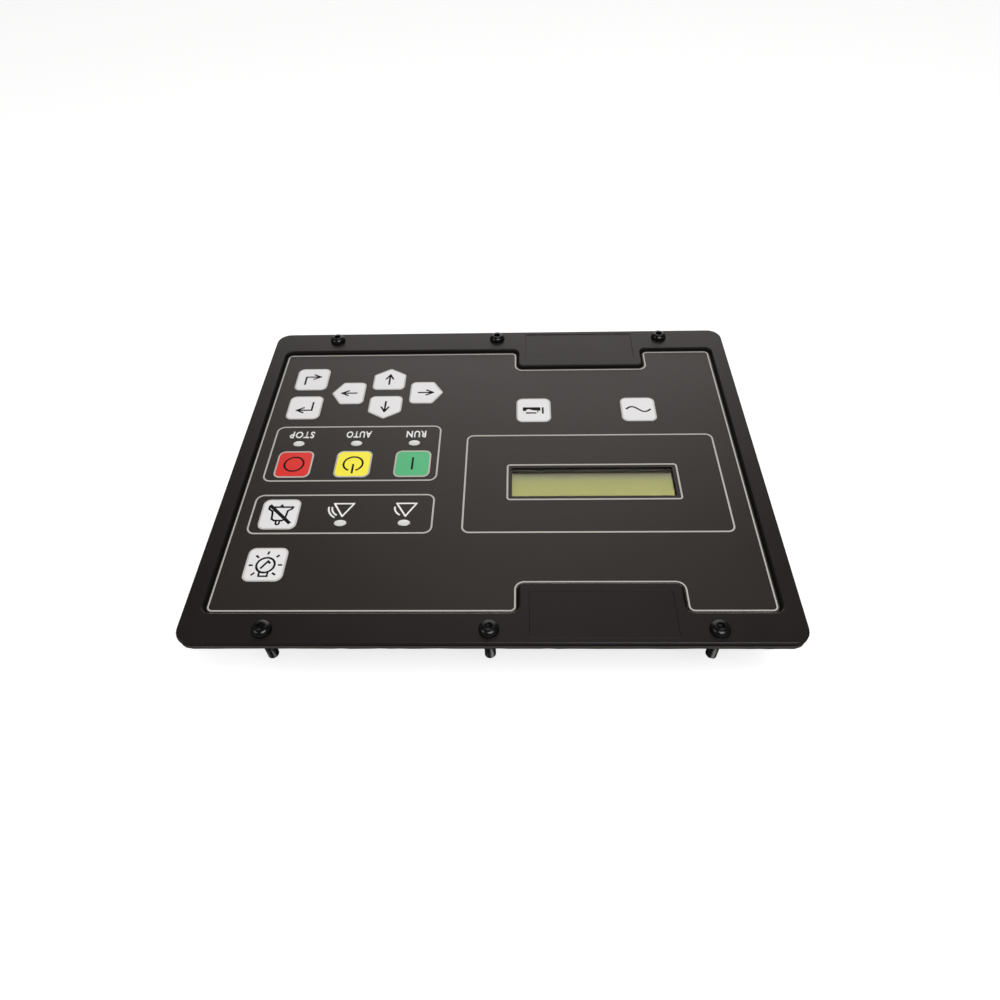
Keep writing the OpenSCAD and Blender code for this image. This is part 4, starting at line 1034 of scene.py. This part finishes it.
# %% Floor
bpy.ops.mesh.primitive_plane_add(size=12, location=(0, 0, REST_Z))
floor = bpy.context.object
floor.name = "floor"
paper = bpy.data.materials.new("White paper")
paper.use_nodes = True
tree = paper.node_tree
shader = tree.nodes["Principled BSDF"]
shader.inputs["Base Color"].default_value = (0.4, 0.4, 0.4, 1)
shader.inputs["Roughness"].default_value = 0.9
shader.inputs["Specular IOR Level"].default_value = 0.1
shader.inputs["Emission Color"].default_value = (1, 1, 1, 1)
rays = tree.nodes.new("ShaderNodeLightPath")
glow = math_node(tree, "MULTIPLY", rays.outputs["Is Camera Ray"], 0.75)
tree.links.new(glow, shader.inputs["Emission Strength"])
floor.data.materials.append(paper)
print("floor at", round(REST_Z / MM, 2), "mm")

# %% [markdown]
# ## World
# The world is bright near the horizon, most of all on the far side, and dark above, as in a room
# with one light wall. So the flat face takes a soft sheen that fades towards the camera. A picture
# of a room would light it too. Here one ramp gives the colour by height and one range the
# brightness by direction, which are easy to adjust.

# %% World
world = bpy.data.worlds.new("Pale room")
bpy.context.scene.world = world
world.use_nodes = True
tree = world.node_tree
sky = tree.nodes["Background"]
LEVELS = ((0.0, 0.9), (0.574, 0.9), (0.64, 0.72), (0.73, 0.66), (0.8, 0.5), (0.866, 0.42), (1.0, 0.1))
WARM_GREEN, WARM_BLUE = 0.965, 0.945
WALL_MIDDLE_X, WALL_CURVE = -0.02, 1.1
split = tree.nodes.new("ShaderNodeSeparateXYZ")
tree.links.new(tree.nodes.new("ShaderNodeTexCoord").outputs["Generated"], split.inputs[0])
ramp = tree.nodes.new("ShaderNodeValToRGB")
set_stops(ramp, [(position, (level, WARM_GREEN * level, WARM_BLUE * level, 1))
                 for position, level in LEVELS])
tree.links.new(split.outputs["Z"], ramp.inputs["Fac"])
far_wall = tree.nodes.new("ShaderNodeMapRange")
for label, value in (("From Min", -0.6), ("From Max", -0.15), ("To Min", 2.3), ("To Max", 0.15)):
    far_wall.inputs[label].default_value = value
aside = math_node(tree, "SUBTRACT", split.outputs["X"], WALL_MIDDLE_X)
aside = math_node(tree, "MULTIPLY", math_node(tree, "ABSOLUTE", aside, 0), WALL_CURVE)
tree.links.new(math_node(tree, "ADD", aside, split.outputs["Y"]), far_wall.inputs["Value"])
tree.links.new(ramp.outputs["Color"], sky.inputs["Color"])
tree.links.new(far_wall.outputs[0], sky.inputs["Strength"])
white_sky = tree.nodes.new("ShaderNodeBackground")
white_sky.inputs["Color"].default_value = (1, 1, 1, 1)
both = tree.nodes.new("ShaderNodeMixShader")
tree.links.new(tree.nodes.new("ShaderNodeLightPath").outputs["Is Camera Ray"], both.inputs[0])
tree.links.new(sky.outputs[0], both.inputs[1])
tree.links.new(white_sky.outputs[0], both.inputs[2])
tree.links.new(both.outputs[0], tree.nodes["World Output"].inputs["Surface"])
print("world levels:", len(LEVELS))

# %% [markdown]
# ## Lamps
# Two large square lamps stand on the camera's side. They give the keys their full colour and the
# screws their highlights. Small lamps would do that too, but with hard shadows.

# %% Lamps
def soft_lamp(name, place, size, watts):
    """A square lamp that faces the unit."""
    lamp = bpy.data.objects.new(name, bpy.data.lights.new(name, "AREA"))
    bpy.context.scene.collection.objects.link(lamp)
    lamp.data.size = size
    lamp.data.energy = watts
    lamp.location = place
    lamp.rotation_euler = Vector(place).to_track_quat("Z", "Y").to_euler()


soft_lamp("Main lamp", (-0.4, 0.7, 1.5), 1.0, 22)
soft_lamp("Side lamp", (1.3, 0.4, 1.2), 0.8, 5)
print("studio lamps:", len(bpy.data.lights))
